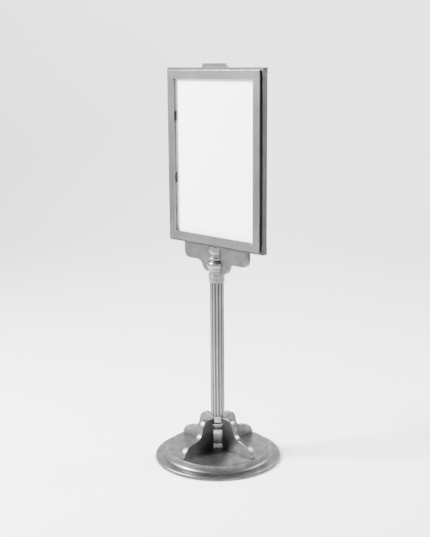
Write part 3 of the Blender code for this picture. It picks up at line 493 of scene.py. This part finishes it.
# %% Painted, moulded and paper surfaces
def matt(name, light, dark, roughness, grain, depth, dust=0.35):
    """A surface that scatters light: two close colours in soft clouds, and a fine grain."""
    mat, tree, shader, point, bend = start_finish(name)
    skin = use(tree, casting_skin, {"Point": point, "Grain": grain})
    wear_and_shade = use(tree, edge_wear_and_crevice_shade, {"Point": point, "Bend": bend, "Share": 0.5})
    dusty = dust_on(tree, point, dust)
    tone = between(tree, skin["Tone"], 0.3, 0.7)
    colour = mixed(tree, tone, (*dark, 1.0), (*light, 1.0))
    rubbed = tuple(min(1.0, channel * RUBBED_PAINT) for channel in light)
    colour = mixed(tree, wear_and_shade["Rubbed"], colour, (*rubbed, 1.0))
    colour = mixed(tree, dusty, colour, DUST)
    rough = between(tree, tone, 0.0, 1.0, roughness + PAINT_SWING, roughness - PAINT_SWING)
    rough = maths(tree, "MULTIPLY_ADD", wear_and_shade["Rubbed"], RUBBED_SMOOTHER, rough)
    dress(tree, shader, colour, rough, skin["Height"], depth)
    return mat


PANEL = matt("powder_coat_white", (0.58, 0.58, 0.575), (0.55, 0.55, 0.545), 0.45, 700.0, 0.0002)
RUBBER = matt("black_rubber", (0.035, 0.035, 0.036), (0.02, 0.02, 0.021), 0.75, 600.0, 0.0003)
NYLON = matt("black_nylon", (0.03, 0.03, 0.032), (0.018, 0.018, 0.019), 0.42, 1200.0, 0.00008)
PAPER = matt("poster_paper", (0.93, 0.93, 0.925), (0.90, 0.90, 0.895), 0.62, 1500.0, 0.00003, 0.0)
BOARD = matt("grey_backing_board", (0.20, 0.198, 0.19), (0.175, 0.173, 0.167), 0.80, 800.0, 0.00015, 0.0)
print("5 scattering finishes")


# %% Clear acrylic
def make_acrylic():
    """Clear sheet with faint wiping marks in its gloss; shadow rays pass straight through it."""
    mat, tree, shader, point, bend = start_finish("clear_acrylic")
    marks = use(tree, handling_marks, {"Point": point})
    rough = between(tree, marks["Smudge"], 0.0, 1.0, 0.015, 0.045)
    rough = maths(tree, "MULTIPLY_ADD", marks["Hairline"], 0.10, rough)
    frosted = maths(tree, "MULTIPLY_ADD", maths(tree, "MAXIMUM", bend, 0.0), 0.30, rough)
    tint = mixed(tree, maths(tree, "MAXIMUM", bend, 0.0), (0.985, 0.99, 0.99, 1.0), (0.85, 0.90, 0.90, 1.0))
    tree.links.new(tint, shader.inputs["Base Color"])
    tree.links.new(frosted, shader.inputs["Roughness"])
    shader.inputs["Transmission Weight"].default_value = 1.0
    shader.inputs["IOR"].default_value = 1.49
    path = add(tree, "LightPath").outputs
    passing = maths(tree, "MAXIMUM", path["Is Shadow Ray"], path["Is Diffuse Ray"])
    clear = add(tree, "BsdfTransparent", {"Color": (0.97, 0.98, 0.98, 1.0)})
    joined = add(tree, "MixShader", {0: passing, 1: shader.outputs[0], 2: clear.outputs[0]})
    tree.links.new(joined.outputs[0], tree.nodes["Material Output"].inputs["Surface"])
    return mat


ACRYLIC = make_acrylic()
print(ACRYLIC.name)

# %% [markdown]
# ## The camera
# It stands about 3.5 m off, half way round to the stand's right, as high as the sign's top edge,
# and looks down. A longish lens keeps the frame's sides nearly parallel.

# %% Camera
CAMERA_PLACE = (2.451, -2.449, 1.500)  # m
CAMERA_LENS = 63.65  # mm
CAMERA_HEADING = math.radians(45.13)  # round from the line that faces the sign
CAMERA_DOWN = math.radians(12.309)
CAMERA_ROLL = math.radians(-0.415)


def make_camera():
    """Its three axes, as columns: right, top and back, after heading, tilt and roll in turn."""
    level = np.array([-math.sin(CAMERA_HEADING), math.cos(CAMERA_HEADING), 0.0])
    side = np.array([math.cos(CAMERA_HEADING), math.sin(CAMERA_HEADING), 0.0])
    up = np.array([0.0, 0.0, 1.0])
    look = math.cos(CAMERA_DOWN) * level - math.sin(CAMERA_DOWN) * up
    top = math.cos(CAMERA_DOWN) * up + math.sin(CAMERA_DOWN) * level
    right = math.cos(CAMERA_ROLL) * side + math.sin(CAMERA_ROLL) * top
    top = math.cos(CAMERA_ROLL) * top - math.sin(CAMERA_ROLL) * side
    pose = np.eye(4)
    pose[:3, 0], pose[:3, 1], pose[:3, 2], pose[:3, 3] = right, top, -look, CAMERA_PLACE
    data = bpy.data.cameras.new("camera")
    data.lens = CAMERA_LENS
    data.clip_end = 60.0
    camera = bpy.data.objects.new("camera", data)
    camera.matrix_world = Matrix(pose)
    bpy.context.scene.collection.objects.link(camera)
    bpy.context.scene.camera = camera


make_camera()
print("camera at %.2f, %.2f, %.2f m" % CAMERA_PLACE)

# %% [markdown]
# ## Floor and light
# The floor is one large turned sheet that curves up into a wall all round, as a studio's cove
# does, so no horizon shows from any side. The light is soft: a dim pale sky, a large lamp in front
# on the left, a weak one on the right, one behind that draws the rims, and one that lights the wall.

# %% Studio
COVE_RADIUS = 6.5  # m
COVE_BEND = 2.2
COVE_HEIGHT = 5.2


def make_cove():
    """A profile of floor, quarter circle and wall, carried once round the Z axis."""
    quarter = np.linspace(-math.pi / 2, 0, 25)
    radii = np.concatenate([[0.0], COVE_RADIUS - COVE_BEND + COVE_BEND * np.cos(quarter), [COVE_RADIUS]])
    heights = np.concatenate([[0.0], COVE_BEND + COVE_BEND * np.sin(quarter), [COVE_HEIGHT]])
    angles = np.linspace(0, 2 * math.pi, 96, endpoint=False)
    points = np.stack(
        [np.outer(radii, np.cos(angles)), np.outer(radii, np.sin(angles)),
         np.broadcast_to(heights[:, None], (len(radii), len(angles)))], -1,
    )
    mesh = bpy.data.meshes.new("studio_floor")
    mesh.from_pydata(points.reshape(-1, 3).tolist(), [], quads_between(*points.shape[:2]))
    bm = bmesh.new()
    bm.from_mesh(mesh)
    bmesh.ops.remove_doubles(bm, verts=bm.verts, dist=0.0001)
    bm.to_mesh(mesh)
    bm.free()
    mesh.shade_smooth()
    return linked("studio_floor", mesh)


FLOOR = matt("pale_floor", (0.90, 0.90, 0.90), (0.885, 0.885, 0.885), 0.85, 60.0, 0.0001, 0.0)
floor = make_cove()
floor.data.materials.append(FLOOR)
print("floor %.1f m across" % (2 * COVE_RADIUS))


# %% Lamps
def make_lamp(name, place, target, size, watts, spread=math.pi):
    """A square lamp that faces the target; spread is the angle that its light fills."""
    data = bpy.data.lights.new(name, "AREA")
    data.shape = "SQUARE"
    data.size = size
    data.energy = watts
    data.spread = spread
    lamp = bpy.data.objects.new(name, data)
    aim = np.array(target, float) - np.array(place, float)
    lamp.location = place
    lamp.rotation_euler = (
        math.atan2(math.hypot(aim[0], aim[1]), -aim[2]), 0.0, math.atan2(aim[1], aim[0]) - math.pi / 2
    )
    bpy.context.scene.collection.objects.link(lamp)


MIDDLE = (0.0, 0.0, 0.75)
make_lamp("key_lamp", (-2.4, -3.0, 3.4), MIDDLE, 1.5, 600, math.radians(110))
make_lamp("fill_lamp", (4.2, -0.6, 2.6), MIDDLE, 2.0, 20)
make_lamp("rim_lamp", (1.8, 3.4, 3.3), MIDDLE, 1.6, 160, math.radians(110))
make_lamp("wall_lamp", (-2.2, 2.2, 4.0), (-4.6, 4.6, 1.2), 2.0, 330)
sky = bpy.data.worlds.new("pale_sky")
sky.use_nodes = True
sky.node_tree.nodes["Background"].inputs["Color"].default_value = (0.93, 0.96, 1.0, 1.0)
sky.node_tree.nodes["Background"].inputs["Strength"].default_value = 0.32
bpy.context.scene.world = sky
print("4 lamps and a pale sky")

# %% [markdown]
# ## The foot
# The foot is one casting, turned on its outside: a flat top that carries the fins, a hollow
# curve down to a narrow ledge, and a rounded rim. It rests on a rubber ring let into its underside,
# and a steel plate closes it. A turned piece is a profile carried round the Z axis, so each ring
# of points is a circle. The profile here runs out over the top and back underneath.


# %% Turned pieces
def turned(name, profile, bends, base=0.0, steps=192):
    """Points (radius cos a, radius sin a, base + height) for each profile point and each angle a."""
    angles = np.linspace(0, 2 * math.pi, steps, endpoint=False)
    radii, heights = profile[:, :1], profile[:, 1:]
    x, y = radii * np.cos(angles), radii * np.sin(angles)
    rings = np.stack([x, y, np.broadcast_to(heights + base, x.shape)], -1)
    return surface(name, rings, bends[:, None], joined=True)


GAP = 0.0003  # m between pieces that fit into each other
FINE = 0.0003  # radius of an edge that is only just broken
BORE_R = 0.0043  # for the tie rod

# %% Foot casting
FOOT_WALL = 0.006
RIM_ROUND = 0.0063
LEDGE_W = 0.0245
LEDGE_Z = 0.0139
RISER_W = 0.0144
SEAT_DEPTH = 0.003

foot_low, foot_high = span("base_plinth")
grip_low, grip_high = span("rubber_floor_ring")
cover_low, cover_high = span("underside_plate")
GRIP_W = 0.0104


def make_foot():
    """Over the top and down to the rim, in under the ring's and the plate's seats, up the hollow."""
    rim, top, under = foot_high[0], foot_high[2], foot_low[2]
    shoulder = rim - RIM_ROUND
    ledge = shoulder - LEDGE_W
    disc = ledge - RISER_W
    seat = under + SEAT_DEPTH
    corners = [(BORE_R, top, FINE), (disc - 0.0004, top, 0.0012)]
    corners += unrounded(bezier(
        (disc + 0.0002, top - 0.0020), (disc + 0.001, top - 0.015), (ledge - 0.009, LEDGE_Z + 0.002),
        (ledge, LEDGE_Z), 14,
    ))
    corners += [(ledge, LEDGE_Z, 0.0)]
    corners += unrounded(bezier(
        (shoulder, LEDGE_Z), (shoulder + 0.0036, LEDGE_Z), (rim, LEDGE_Z * 0.6), (rim, under + 0.0006), 12,
    ))
    corners += [
        (rim, under, 0.0005),
        (grip_high[0] + GAP, under, 0.0004), (grip_high[0] + GAP, seat, 0.0004),
        (grip_high[0] - GRIP_W - GAP, seat, 0.0004), (grip_high[0] - GRIP_W - GAP, under, 0.0004),
        (cover_high[0] + GAP, under, 0.0004), (cover_high[0] + GAP, seat, 0.0004),
        (ledge - FOOT_WALL, seat, 0.002), (disc - 0.0049, LEDGE_Z + 0.001, 0.003),
        (disc - FOOT_WALL, top - FOOT_WALL, 0.003), (BORE_R, top - FOOT_WALL, FINE),
    ]
    profile, bends = rounded(corners)
    return turned("cast_foot", profile, bends, steps=256)


settle(make_foot(), "stand", CAST, ["base_plinth"])

# %% Rubber ring and cover plate
grip_inner = grip_high[0] - GRIP_W
grip_corners = [
    (grip_high[0], grip_high[2], 0.0008), (grip_high[0], grip_low[2], 0.0012),
    (grip_inner, grip_low[2], 0.0012), (grip_inner, grip_high[2], 0.0008),
]
grip_ring = turned("floor_grip_ring", *rounded(grip_corners), steps=224)
settle(grip_ring, "stand", RUBBER, ["rubber_floor_ring"])

cover_corners = [
    (0.0, cover_high[2], 0.0), (cover_high[0], cover_high[2], 0.0004), (cover_high[0], cover_low[2], 0.0006),
    (0.0, cover_low[2], 0.0),
]
cover_plate = turned("foot_cover_plate", *rounded(cover_corners), steps=224)
settle(cover_plate, "stand", ZINC, ["underside_plate"])

# %% [markdown]
# ## Hub, collars and neck
# These are turned from bar, so their edges are crisp and small grooves mark where one step ends
# and the next begins. Each list runs down the outer side of the piece and back up its bore.
# Heights are from the piece's own foot, and the frame says where that foot stands.


# %% Hub and collars
def cylinder(node):
    """Radius, height and foot of a turned solid."""
    low, high = span(node)
    return high[0], high[2] - low[2], low[2]


def make_hub():
    """A neck groove near the top, darkened by painted shade in its inner corners, and two fine grooves lower
    down.
    """
    radius, tall, base = cylinder("lower_hub")
    waist = radius - 0.005
    corners = [
        (BORE_R, tall, FINE), (radius - 0.0015, tall, 0.0010),
        (radius - 0.0024, tall - 0.0080, 0.002), (waist + 0.0003, tall - 0.0140, 0.001),
        (waist, tall - 0.0172, 0.0008), (radius - 0.003, tall - 0.0180, 0.0006),
    ]
    for groove in (tall - 0.0367, tall - 0.0622):
        corners += [
            (radius - 0.0023, groove + 0.0010, FINE), (radius - 0.0038, groove + 0.0005, FINE),
            (radius - 0.0038, groove - 0.0005, FINE), (radius - 0.0023, groove - 0.0010, FINE),
        ]
    corners += [(radius - 0.0028, 0.021, 0.008), (radius - 0.0012, 0.011, 0.006), (radius, 0.006, 0.002),
                (radius, 0.0, 0.0006), (BORE_R, 0.0, FINE)]
    return turned("turned_hub", *rounded(corners), base=base)


settle(make_hub(), "stand", TURNED, ["lower_hub"])

tube_low, tube_high = span("fluted_column")
TUBE_WALL = 0.0046
TUBE_R = 0.0271
SLEEVE_R = TUBE_R + GAP
SPIGOT_R = TUBE_R - TUBE_WALL - GAP


def make_lower_collar():
    """A wide ring with a sleeve on it, and a slot between sleeve and spigot that takes the tube."""
    ring, tall, base = cylinder("lower_collar")
    outer = ring - 0.0075
    step = 0.0069  # height of the ring
    deep = 0.0072  # floor of the slot
    corners = [
        (SLEEVE_R, tall, FINE), (outer, tall, 0.0007), (outer, step, 0.0010), (ring, step, 0.0012),
        (ring, 0.0, 0.0009), (BORE_R, 0.0, FINE), (BORE_R, tall, FINE), (SPIGOT_R, tall, FINE),
        (SPIGOT_R, deep, FINE), (SLEEVE_R, deep, FINE),
    ]
    return turned("turned_lower_collar", *rounded(corners), base=base)


def make_upper_collar():
    """A sleeve with a thin rim on top, and a slot from below that takes the tube."""
    rim, tall, base = cylinder("upper_collar")
    outer = rim - 0.0017
    under = tall - 0.003  # of the rim
    ceiling = tall - 0.005  # of the slot
    corners = [
        (BORE_R, tall, FINE), (rim, tall, 0.0009), (rim, under, 0.0006),
        (outer, under, 0.0005), (outer, 0.0, 0.0007), (SLEEVE_R, 0.0, FINE),
        (SLEEVE_R, ceiling, FINE), (SPIGOT_R, ceiling, FINE), (SPIGOT_R, 0.0, FINE), (BORE_R, 0.0, FINE),
    ]
    return turned("turned_upper_collar", *rounded(corners), base=base)


settle(make_lower_collar(), "stand", TURNED, ["lower_collar"])
settle(make_upper_collar(), "stand", TURNED, ["upper_collar"])


# %% Bell, ring and block of the neck
def make_bell():
    """A hollow curve under the ring above, then a round belly, then a straight waist."""
    radius, tall, base = cylinder("neck_bell")
    waist = radius - 0.006
    corners = [(BORE_R, tall, FINE), (radius - 0.0121, tall, 0.0010)]
    corners += unrounded(bezier(
        (radius - 0.0100, tall - 0.0030), (radius - 0.0070, tall - 0.0070), (radius, tall - 0.0090),
        (radius, tall - 0.0175), 10,
    ))
    corners += unrounded(bezier(
        (radius, tall - 0.0175), (radius, tall - 0.0265), (radius - 0.0008, tall - 0.0300),
        (radius - 0.0045, tall - 0.0342), 10,
    ))
    corners += [
        (radius - 0.0045, tall - 0.0342, 0.0), (waist + 0.0006, tall - 0.0352, 0.0006),
        (waist, 0.012, 0.02), (waist, 0.0, 0.0009), (BORE_R, 0.0, FINE),
    ]
    return turned("turned_bell", *rounded(corners), base=base)


def make_neck_ring():
    """A plain ring, its outer side nearly a half circle."""
    radius, tall, base = cylinder("neck_ring")
    corners = [(BORE_R, tall, FINE), (radius, tall, 0.0028), (radius, 0.0, 0.0028), (BORE_R, 0.0, FINE)]
    return turned("turned_neck_ring", *rounded(corners, 8), base=base)


def make_neck_block():
    """A short cylinder that draws in and swells again towards its foot."""
    radius, tall, base = cylinder("neck_block")
    edge = (radius - 0.0038, 0.017)
    foot = radius - 0.0028
    corners = [(BORE_R, tall, FINE), (radius, tall, 0.0008)]
    corners += unrounded(bezier((radius, 0.0225), (radius, 0.019), (radius - 0.0015, 0.0178), edge, 8))
    corners += unrounded(bezier(edge, (edge[0] - 0.002, 0.012), (foot - 0.003, 0.008), (foot, 0.0006), 8))
    corners += [(foot, 0.0, 0.0006), (BORE_R, 0.0, FINE)]
    return turned("turned_neck_block", *rounded(corners), base=base)


for make, node in ((make_bell, "neck_bell"), (make_neck_ring, "neck_ring"), (make_neck_block, "neck_block")):
    settle(make(), "stand", TURNED, [node])

# %% [markdown]
# ## The fluted column
# The column is a drawn tube with fourteen broad ribs and a narrow flute between each two. Its
# radius dips at each flute as a half wave raised to a power, which narrows the dip. Written as a
# function of the angle, one loop of points holds the section, and the tube is that loop carried
# up. The bottom of each flute is marked as an inner corner by its bends, so a dark line of painted
# shade runs down it.

# %% Fluted tube
FLUTES = 14
FLUTE_DEPTH = 0.0016
FLUTE_STEPS = 26
SHADE_FROM = 0.35  # share of the depth at which the painted shade starts
SHADE_RUN = 0.4  # share of the depth over which the painted shade grows to full
FLUTE_PHASE = math.radians(-45)  # where one rib faces
FLUTE_NARROWING = 2.5  # 1 gives half-round flutes, more gives narrow ones between broad ribs


def make_tube():
    """Radius = tube radius - depth * |sin(flutes / 2 * angle)| to a power; up outside, down inside."""
    steps = FLUTES * FLUTE_STEPS
    angles = np.linspace(0, 2 * math.pi, steps, endpoint=False)
    dip = np.abs(np.sin(FLUTES / 2 * angles)) ** FLUTE_NARROWING
    outer = TUBE_R - FLUTE_DEPTH * dip
    inner = np.full(steps, TUBE_R - TUBE_WALL)
    low, high = tube_low[2], tube_high[2]
    break_w = 0.0006  # of the edges at both ends
    rows = [
        (outer - break_w, low), (outer, low + break_w), (outer, low + 2 * break_w),
        (outer, high - 2 * break_w), (outer, high - break_w), (outer - break_w, high),
        (inner + break_w, high), (inner, high - break_w), (inner, low + break_w), (inner + break_w, low),
    ]
    around = angles + FLUTE_PHASE
    rings = np.stack(
        [np.column_stack([r * np.cos(around), r * np.sin(around), np.full(steps, z)]) for r, z in rows]
    )
    bends = np.zeros((len(rows), steps))
    # Flute bottoms get bends below zero, which the finish paints darker as shade
    bends[1:5] = -np.clip((dip - SHADE_FROM) / SHADE_RUN, 0, 1)
    return surface("fluted_tube", rings, bends, joined=True)


settle(make_tube(), "stand", COLUMN, ["fluted_column"], sharp=50)

# %% [markdown]
# ## Fins and wings
# The four fins and the two wings under the sign are cast plates with a wavy outline and softly
# rounded edges. Each is its outline carried through its thickness: the rings start a little
# inside the outline on one face, swell out round the edge, and come back in on the other face.
# The outline's corners are rounded by giving every point the mean place of its neighbours.


# %% Cast plates
OUTLINE_STEP = 0.0007  # m between the points of an outline
SOFT_REACH = 4  # steps either way that round a corner
PLATE_EASE = 0.0016  # radius of a casting's edge


def even(points, spacing):
    """The closed outline again, with its points at even steps along it."""
    loop = np.vstack([points, points[:1]])
    along = np.concatenate([[0.0], np.cumsum(np.linalg.norm(np.diff(loop, axis=0), axis=1))])
    steps = np.linspace(0, along[-1], int(along[-1] / spacing), endpoint=False)
    return np.column_stack([np.interp(steps, along, loop[:, 0]), np.interp(steps, along, loop[:, 1])])


def softened(points, reach):
    """Each point at the mean of the points within reach steps of it, which rounds the corners."""
    return np.mean([np.roll(points, shift, axis=0) for shift in range(-reach, reach + 1)], axis=0)


def edge_section(half, fillet, steps=5, hold=HOLD):
    """(inset, depth, bend) from one face round the edge to the other: two quarter circles."""
    turn = np.linspace(0, math.pi / 2, steps + 1)
    inset, depth = fillet * (1 - np.sin(turn)), fillet * (1 - np.cos(turn)) - half
    arc = np.column_stack([inset, depth, np.ones(steps + 1)])
    one = np.vstack([[fillet + hold, -half, 0.0], arc, [0.0, fillet + hold - half, 0.0]])
    return np.vstack([one, one[::-1] * [1, -1, 1]])


def plate(name, outline, section, along=(1.0, 0.0), middle=0.0):
    """Point = outline + inset * inward normal in the plate's own plane, depth square to it.

    The plane stands up and runs along the given direction in XY; middle shifts it square to that.
    """
    step = np.roll(outline, -1, axis=0) - np.roll(outline, 1, axis=0)
    inward = winding(outline) * np.column_stack([-step[:, 1], step[:, 0]])
    inward /= np.linalg.norm(inward, axis=1)[:, None]
    flat = outline[None] + section[:, None, :1] * inward[None]
    depth = section[:, None, 1] + middle
    x = flat[..., 0] * along[0] - depth * along[1]
    y = flat[..., 0] * along[1] + depth * along[0]
    return surface(name, np.stack([x, y, flat[..., 1]], -1), section[:, 2:])


FIN_WAIST = 0.0532
FIN_TOE = 0.058
FIN_TOE_H = 0.0497
fin_low, fin_high = span("fin_right")
hub_r = span("lower_hub")[1][0]


def fin_outline():
    """Radius and height: up beside the hub, over a broad shoulder, down a steep waist, out to the toe."""
    low, top, reach = fin_low[2], fin_high[2], fin_high[0]
    inner = 0.029  # inside the hub, where the plate's end is out of sight
    shoulder = np.array([hub_r + FIN_WAIST, top - 0.038])
    toe = np.array([reach - FIN_TOE, low + FIN_TOE_H])
    points = np.vstack([
        [[inner, low], [inner, top]],
        bezier((hub_r + 0.019, top), (hub_r + 0.039, top), shoulder + (-0.003, 0.022), shoulder, 24),
        bezier(shoulder, shoulder + (0.0033, -0.020), toe + (-0.024, 0.0043), toe, 24),
        bezier(toe, toe + (0.036, -0.0037), (reach - 0.001, low + 0.028), (reach, low), 24),
        [[reach, low]],
    ])
    return softened(even(points, OUTLINE_STEP), SOFT_REACH)


fin_thick = fin_high[1] - fin_low[1]
fin_section = edge_section(fin_thick / 2, PLATE_EASE)
for turn, side in enumerate(("right", "back", "left", "front")):
    direction = (round(math.cos(turn * math.pi / 2)), round(math.sin(turn * math.pi / 2)))
    fin = plate("cast_fin_" + side, fin_outline(), fin_section, direction)
    settle(fin, "stand", CAST, ["fin_" + side])

# %% Wings
wing_low, wing_high = span("wing_right")
SHELF_X = 0.095


def wing_outline():
    """Half width and height: along the top, down the end, in along the flat shelf, down to the neck."""
    top, foot, reach = wing_high[2], wing_low[2], wing_high[0]
    shelf = top - 0.059
    middle = np.array([SHELF_X - 0.028, shelf - 0.018])
    inner = 0.0215
    neck_side = SHELF_X - 0.053
    points = np.vstack([
        [[inner, foot], [inner, top], [reach, top]],
        bezier(
            (reach, top - 0.028), (reach - 0.0012, top - 0.048),
            (reach - 0.008, shelf), (reach - 0.027, shelf), 24,
        ),
        bezier((SHELF_X, shelf), (SHELF_X - 0.016, shelf), middle + (0.004, 0.010), middle, 20),
        bezier(middle, middle + (-0.004, -0.012), (neck_side + 0.014, foot), (neck_side, foot), 20),
        [[neck_side, foot]],
    ])
    return softened(even(points, OUTLINE_STEP), SOFT_REACH)


wing_section = edge_section((wing_high[1] - wing_low[1]) / 2, PLATE_EASE)
for side, sign in (("left", -1.0), ("right", 1.0)):
    wing = plate("cast_wing_" + side, wing_outline(), wing_section, (sign, 0.0))
    settle(wing, "stand", CAST, ["wing_" + side])

# %% [markdown]
# ## The sign's front frame
# One flat frame, cut from thick plate and brushed, with its edges just broken. A section of four
# corners is carried round a rectangle. At each corner of the rectangle the section turns on a
# small arc of the same radius at every depth, so that the outer and the inner corner match.


# %% Front frame
def corner_stations(radius, steps=5):
    """Round a rectangle's four corners: which corner (two signs), and the place beside that corner."""
    signs, places = [], []
    for quarter, (side, level) in enumerate(((1, -1), (1, 1), (-1, 1), (-1, -1))):
        angles = math.pi / 2 * (quarter - 1 + np.linspace(0, 1, steps + 1))
        arc = np.column_stack([np.cos(angles) - side, np.sin(angles) - level]) * radius
        before = arc[0] - HOLD * np.array([-math.sin(angles[0]), math.cos(angles[0])])
        beyond = arc[-1] + HOLD * np.array([-math.sin(angles[-1]), math.cos(angles[-1])])
        places.append(np.vstack([before, arc, beyond]))
        signs += [(side, level)] * (steps + 3)
    return np.array(signs, float), np.vstack(places)


frame_low, frame_high = span("front_bezel")
BORDER = 0.032  # face width
FRAME_CORNER = 0.0012  # radius of the rectangle's corners


def make_front_frame():
    """x = sign * (half width - inset) + place; z = low + inset or high - inset, + place."""
    section, bends = rounded([
        (0.0, frame_low[1], 0.0009), (BORDER, frame_low[1], 0.0007),
        (BORDER, frame_high[1], 0.0004), (0.0, frame_high[1], 0.0004),
    ])
    signs, places = corner_stations(FRAME_CORNER)
    inset, depth = section[:, :1], section[:, 1:]
    x = signs[:, 0] * (frame_high[0] - inset) + places[:, 0]
    z = np.where(signs[:, 1] < 0, frame_low[2] + inset, frame_high[2] - inset) + places[:, 1]
    rings = np.stack([x, np.broadcast_to(depth, x.shape), z], -1)
    return surface("front_frame", rings, bends[:, None], joined=True)


settle(make_front_frame(), "stand", FRONT, ["front_bezel"])

# %% [markdown]
# ## Rails, channel and lift bar
# These are lengths of extrusion with slots, notches and screw holes milled in them. Their solids
# already have that shape, so each piece starts as a copy of its solid. The copy's loose
# triangles are merged into whole flat faces, and a narrow bevel breaks every edge.


# %% Copies with broken edges
RAIL_BREAK = 0.0004  # m, width of the bevel
INSERT_BREAK = 0.0003


def broken_edges(name, node, width):
    """A copy of a solid, merged, its flat triangles made one face again, with a narrow bevel.

    Each corner's normal is then the mean of its faces' normals by area, which keeps the flats flat.
    """
    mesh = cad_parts[node].data.copy()
    mesh.name = name
    bm = bmesh.new()
    bm.from_mesh(mesh)
    bmesh.ops.remove_doubles(bm, verts=bm.verts, dist=0.00001)
    bmesh.ops.dissolve_limit(bm, angle_limit=math.radians(1), verts=bm.verts, edges=bm.edges)
    bm.to_mesh(mesh)
    bm.free()
    piece = linked(name, mesh)
    bevel = piece.modifiers.new("broken_edges", "BEVEL")
    bevel.width = width
    bevel.segments = 2
    bevel.limit_method = "ANGLE"
    bevel.angle_limit = math.radians(40)
    flats = piece.modifiers.new("flat_faces", "WEIGHTED_NORMAL")
    flats.mode = "FACE_AREA"
    flats.weight = 100
    return piece


for name, node, finish in (
    ("rail_bottom", "bottom_rail", RAIL_ACROSS), ("rail_top", "top_rail", RAIL_ACROSS),
    ("rail_left", "left_rail", RAIL_UPWARD), ("rail_right", "right_rail", RAIL_UPWARD),
):
    settle(broken_edges(name, node, RAIL_BREAK), "stand", finish, [node])
for name, node in (("insert_channel", "bottom_channel"), ("lift_bar", "pull_bar")):
    settle(broken_edges(name, node, INSERT_BREAK), "poster_insert", RAIL_ACROSS, [node])

# %% [markdown]
# ## Sheets and pads
# The pane, the poster, the board and the back panel are flat sheets with eased edges, and the
# four black pads are small slabs that steady the insert at the sides of the opening. A sheet is
# the same build as a cast plate, with a rectangle for its outline.


# %% Sheets
SHEET_HOLD = 0.00015  # m, shorter than HOLD because the sheets are thin


def sheet(name, node, corner, fillet):
    """A flat sheet in the place of a solid: rounded corners, and edges eased by fillet."""
    low, high = span(node)
    places = ((low[0], low[2]), (high[0], low[2]), (high[0], high[2]), (low[0], high[2]))
    outline, _ = rounded([(x, z, corner) for x, z in places], 6, SHEET_HOLD)
    section = edge_section((high[1] - low[1]) / 2, fillet, 3, SHEET_HOLD)
    return plate(name, outline, section, middle=(low[1] + high[1]) / 2)


for name, node, corner, fillet, body, slot, finish in (
    ("clear_pane", "acrylic_pane", 0.0015, 0.0003, "poster_insert", "clear_acrylic", ACRYLIC),
    ("blank_poster", "poster_sheet", 0.0006, 0.00008, "poster_insert", "poster_paper", PAPER),
    ("grey_board", "backing_board", 0.0015, 0.0003, "poster_insert", "backing_board", BOARD),
    ("rear_panel", "back_panel", 0.0015, 0.0003, "stand", "back_panel_white", PANEL),
):
    settle(sheet(name, node, corner, fillet), body, finish, [node])
for place in ("lower_left", "lower_right", "upper_left", "upper_right"):
    pad = sheet("side_pad_" + place, "guide_pad_" + place, 0.0012, 0.0004)
    settle(pad, "stand", NYLON, ["guide_pad_" + place])

# %% [markdown]
# ## Screws
# Socket screws close the foot and hold the front frame from behind. A screw is a stack of rings
# as well. They start at the tip, swell to the head, and over its top turn from circles into
# the hexagon of the socket, whose radius at angle a is its half width / cos(a - nearest flat).


# %% Socket screws
COVER_SCREW = (0.004, 0.0014, 0.002)  # head radius, head height, shank radius
FRAME_SCREW = (0.0035, 0.003, 0.002)
RAIL_SCREW = (0.0044, 0.004, 0.0025)
SCREW_STEPS = 48


def screw(name, seat, aim, head, tall, shank, length):
    """Rings round the axis aim, from the tip back to the bottom of the hexagon socket."""
    angles = np.linspace(0, 2 * math.pi, SCREW_STEPS, endpoint=False)
    circle = np.ones(SCREW_STEPS)
    hexagon = 1 / np.cos((angles + math.pi / 6) % (math.pi / 3) - math.pi / 6)
    key = head * 0.42
    ease = head * 0.10
    rows = [
        (shank * 0.6, length, circle, 0), (shank, length - shank * 0.5, circle, 0), (shank, 0.0, circle, 0),
        (head - ease, 0.0, circle, 0), (head, -ease, circle, 1), (head, -tall + ease * 2, circle, 0),
        (head - ease * 0.6, -tall + ease * 0.6, circle, 1), (head - ease * 2, -tall, circle, 1),
        # The socket's inner corner has bend -1, so its finish paints it darker as shade
        (key + ease, -tall, hexagon, 0), (key, -tall + ease, hexagon, -1), (key, -tall * 0.35, hexagon, 0),
    ]
    across = np.array([1.0, 0.0, 0.0])
    aim = np.array(aim, float)
    up = np.cross(aim, across)
    rings = np.stack([
        np.array(seat) + aim * along
        + (np.cos(angles) * r * shape)[:, None] * across + (np.sin(angles) * r * shape)[:, None] * up
        for r, along, shape, _ in rows
    ])
    return surface(name, rings, np.array([[row[3]] for row in rows], float))


def fit_screw(name, node, axis, sizes, head_up=True):
    """A screw in the place of a CAD screw, its head at the high end of the axis or at the low one."""
    low, high = span(node)
    head, tall, shank = sizes
    seat, aim = (low + high) / 2, np.zeros(3)
    seat[axis] = high[axis] - tall if head_up else low[axis] + tall
    aim[axis] = -1.0 if head_up else 1.0
    piece = screw(name, seat, aim, head, tall, shank, high[axis] - low[axis] - tall)
    settle(piece, "stand", ZINC, [node], sharp=50)


for number in (1, 2, 3):
    fit_screw("cover_screw_%d" % number, "plate_screw_%d" % number, 2, COVER_SCREW, head_up=False)
for place in ("lower_left", "lower_right", "upper_left", "upper_right"):
    fit_screw("frame_screw_" + place, "bezel_screw_" + place, 1, FRAME_SCREW)
for place in ("left_inner", "left_outer", "right_inner", "right_outer"):
    fit_screw("rail_screw_" + place, "wing_screw_" + place, 2, RAIL_SCREW)

# %% [markdown]
# ## Pieces that stay as they are
# The ballast, the rod, the nuts, the bolts and the corner keys are inside the stand. Their
# solids already have the right shape, so they only get their finish.

# %% Inner pieces
for node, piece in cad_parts.items():
    if not piece.hide_render:
        piece.data.materials.clear()
        piece.data.materials.append(IRON if node == "ballast_weight" else ZINC)
        print("%-24s keeps its solid" % node)
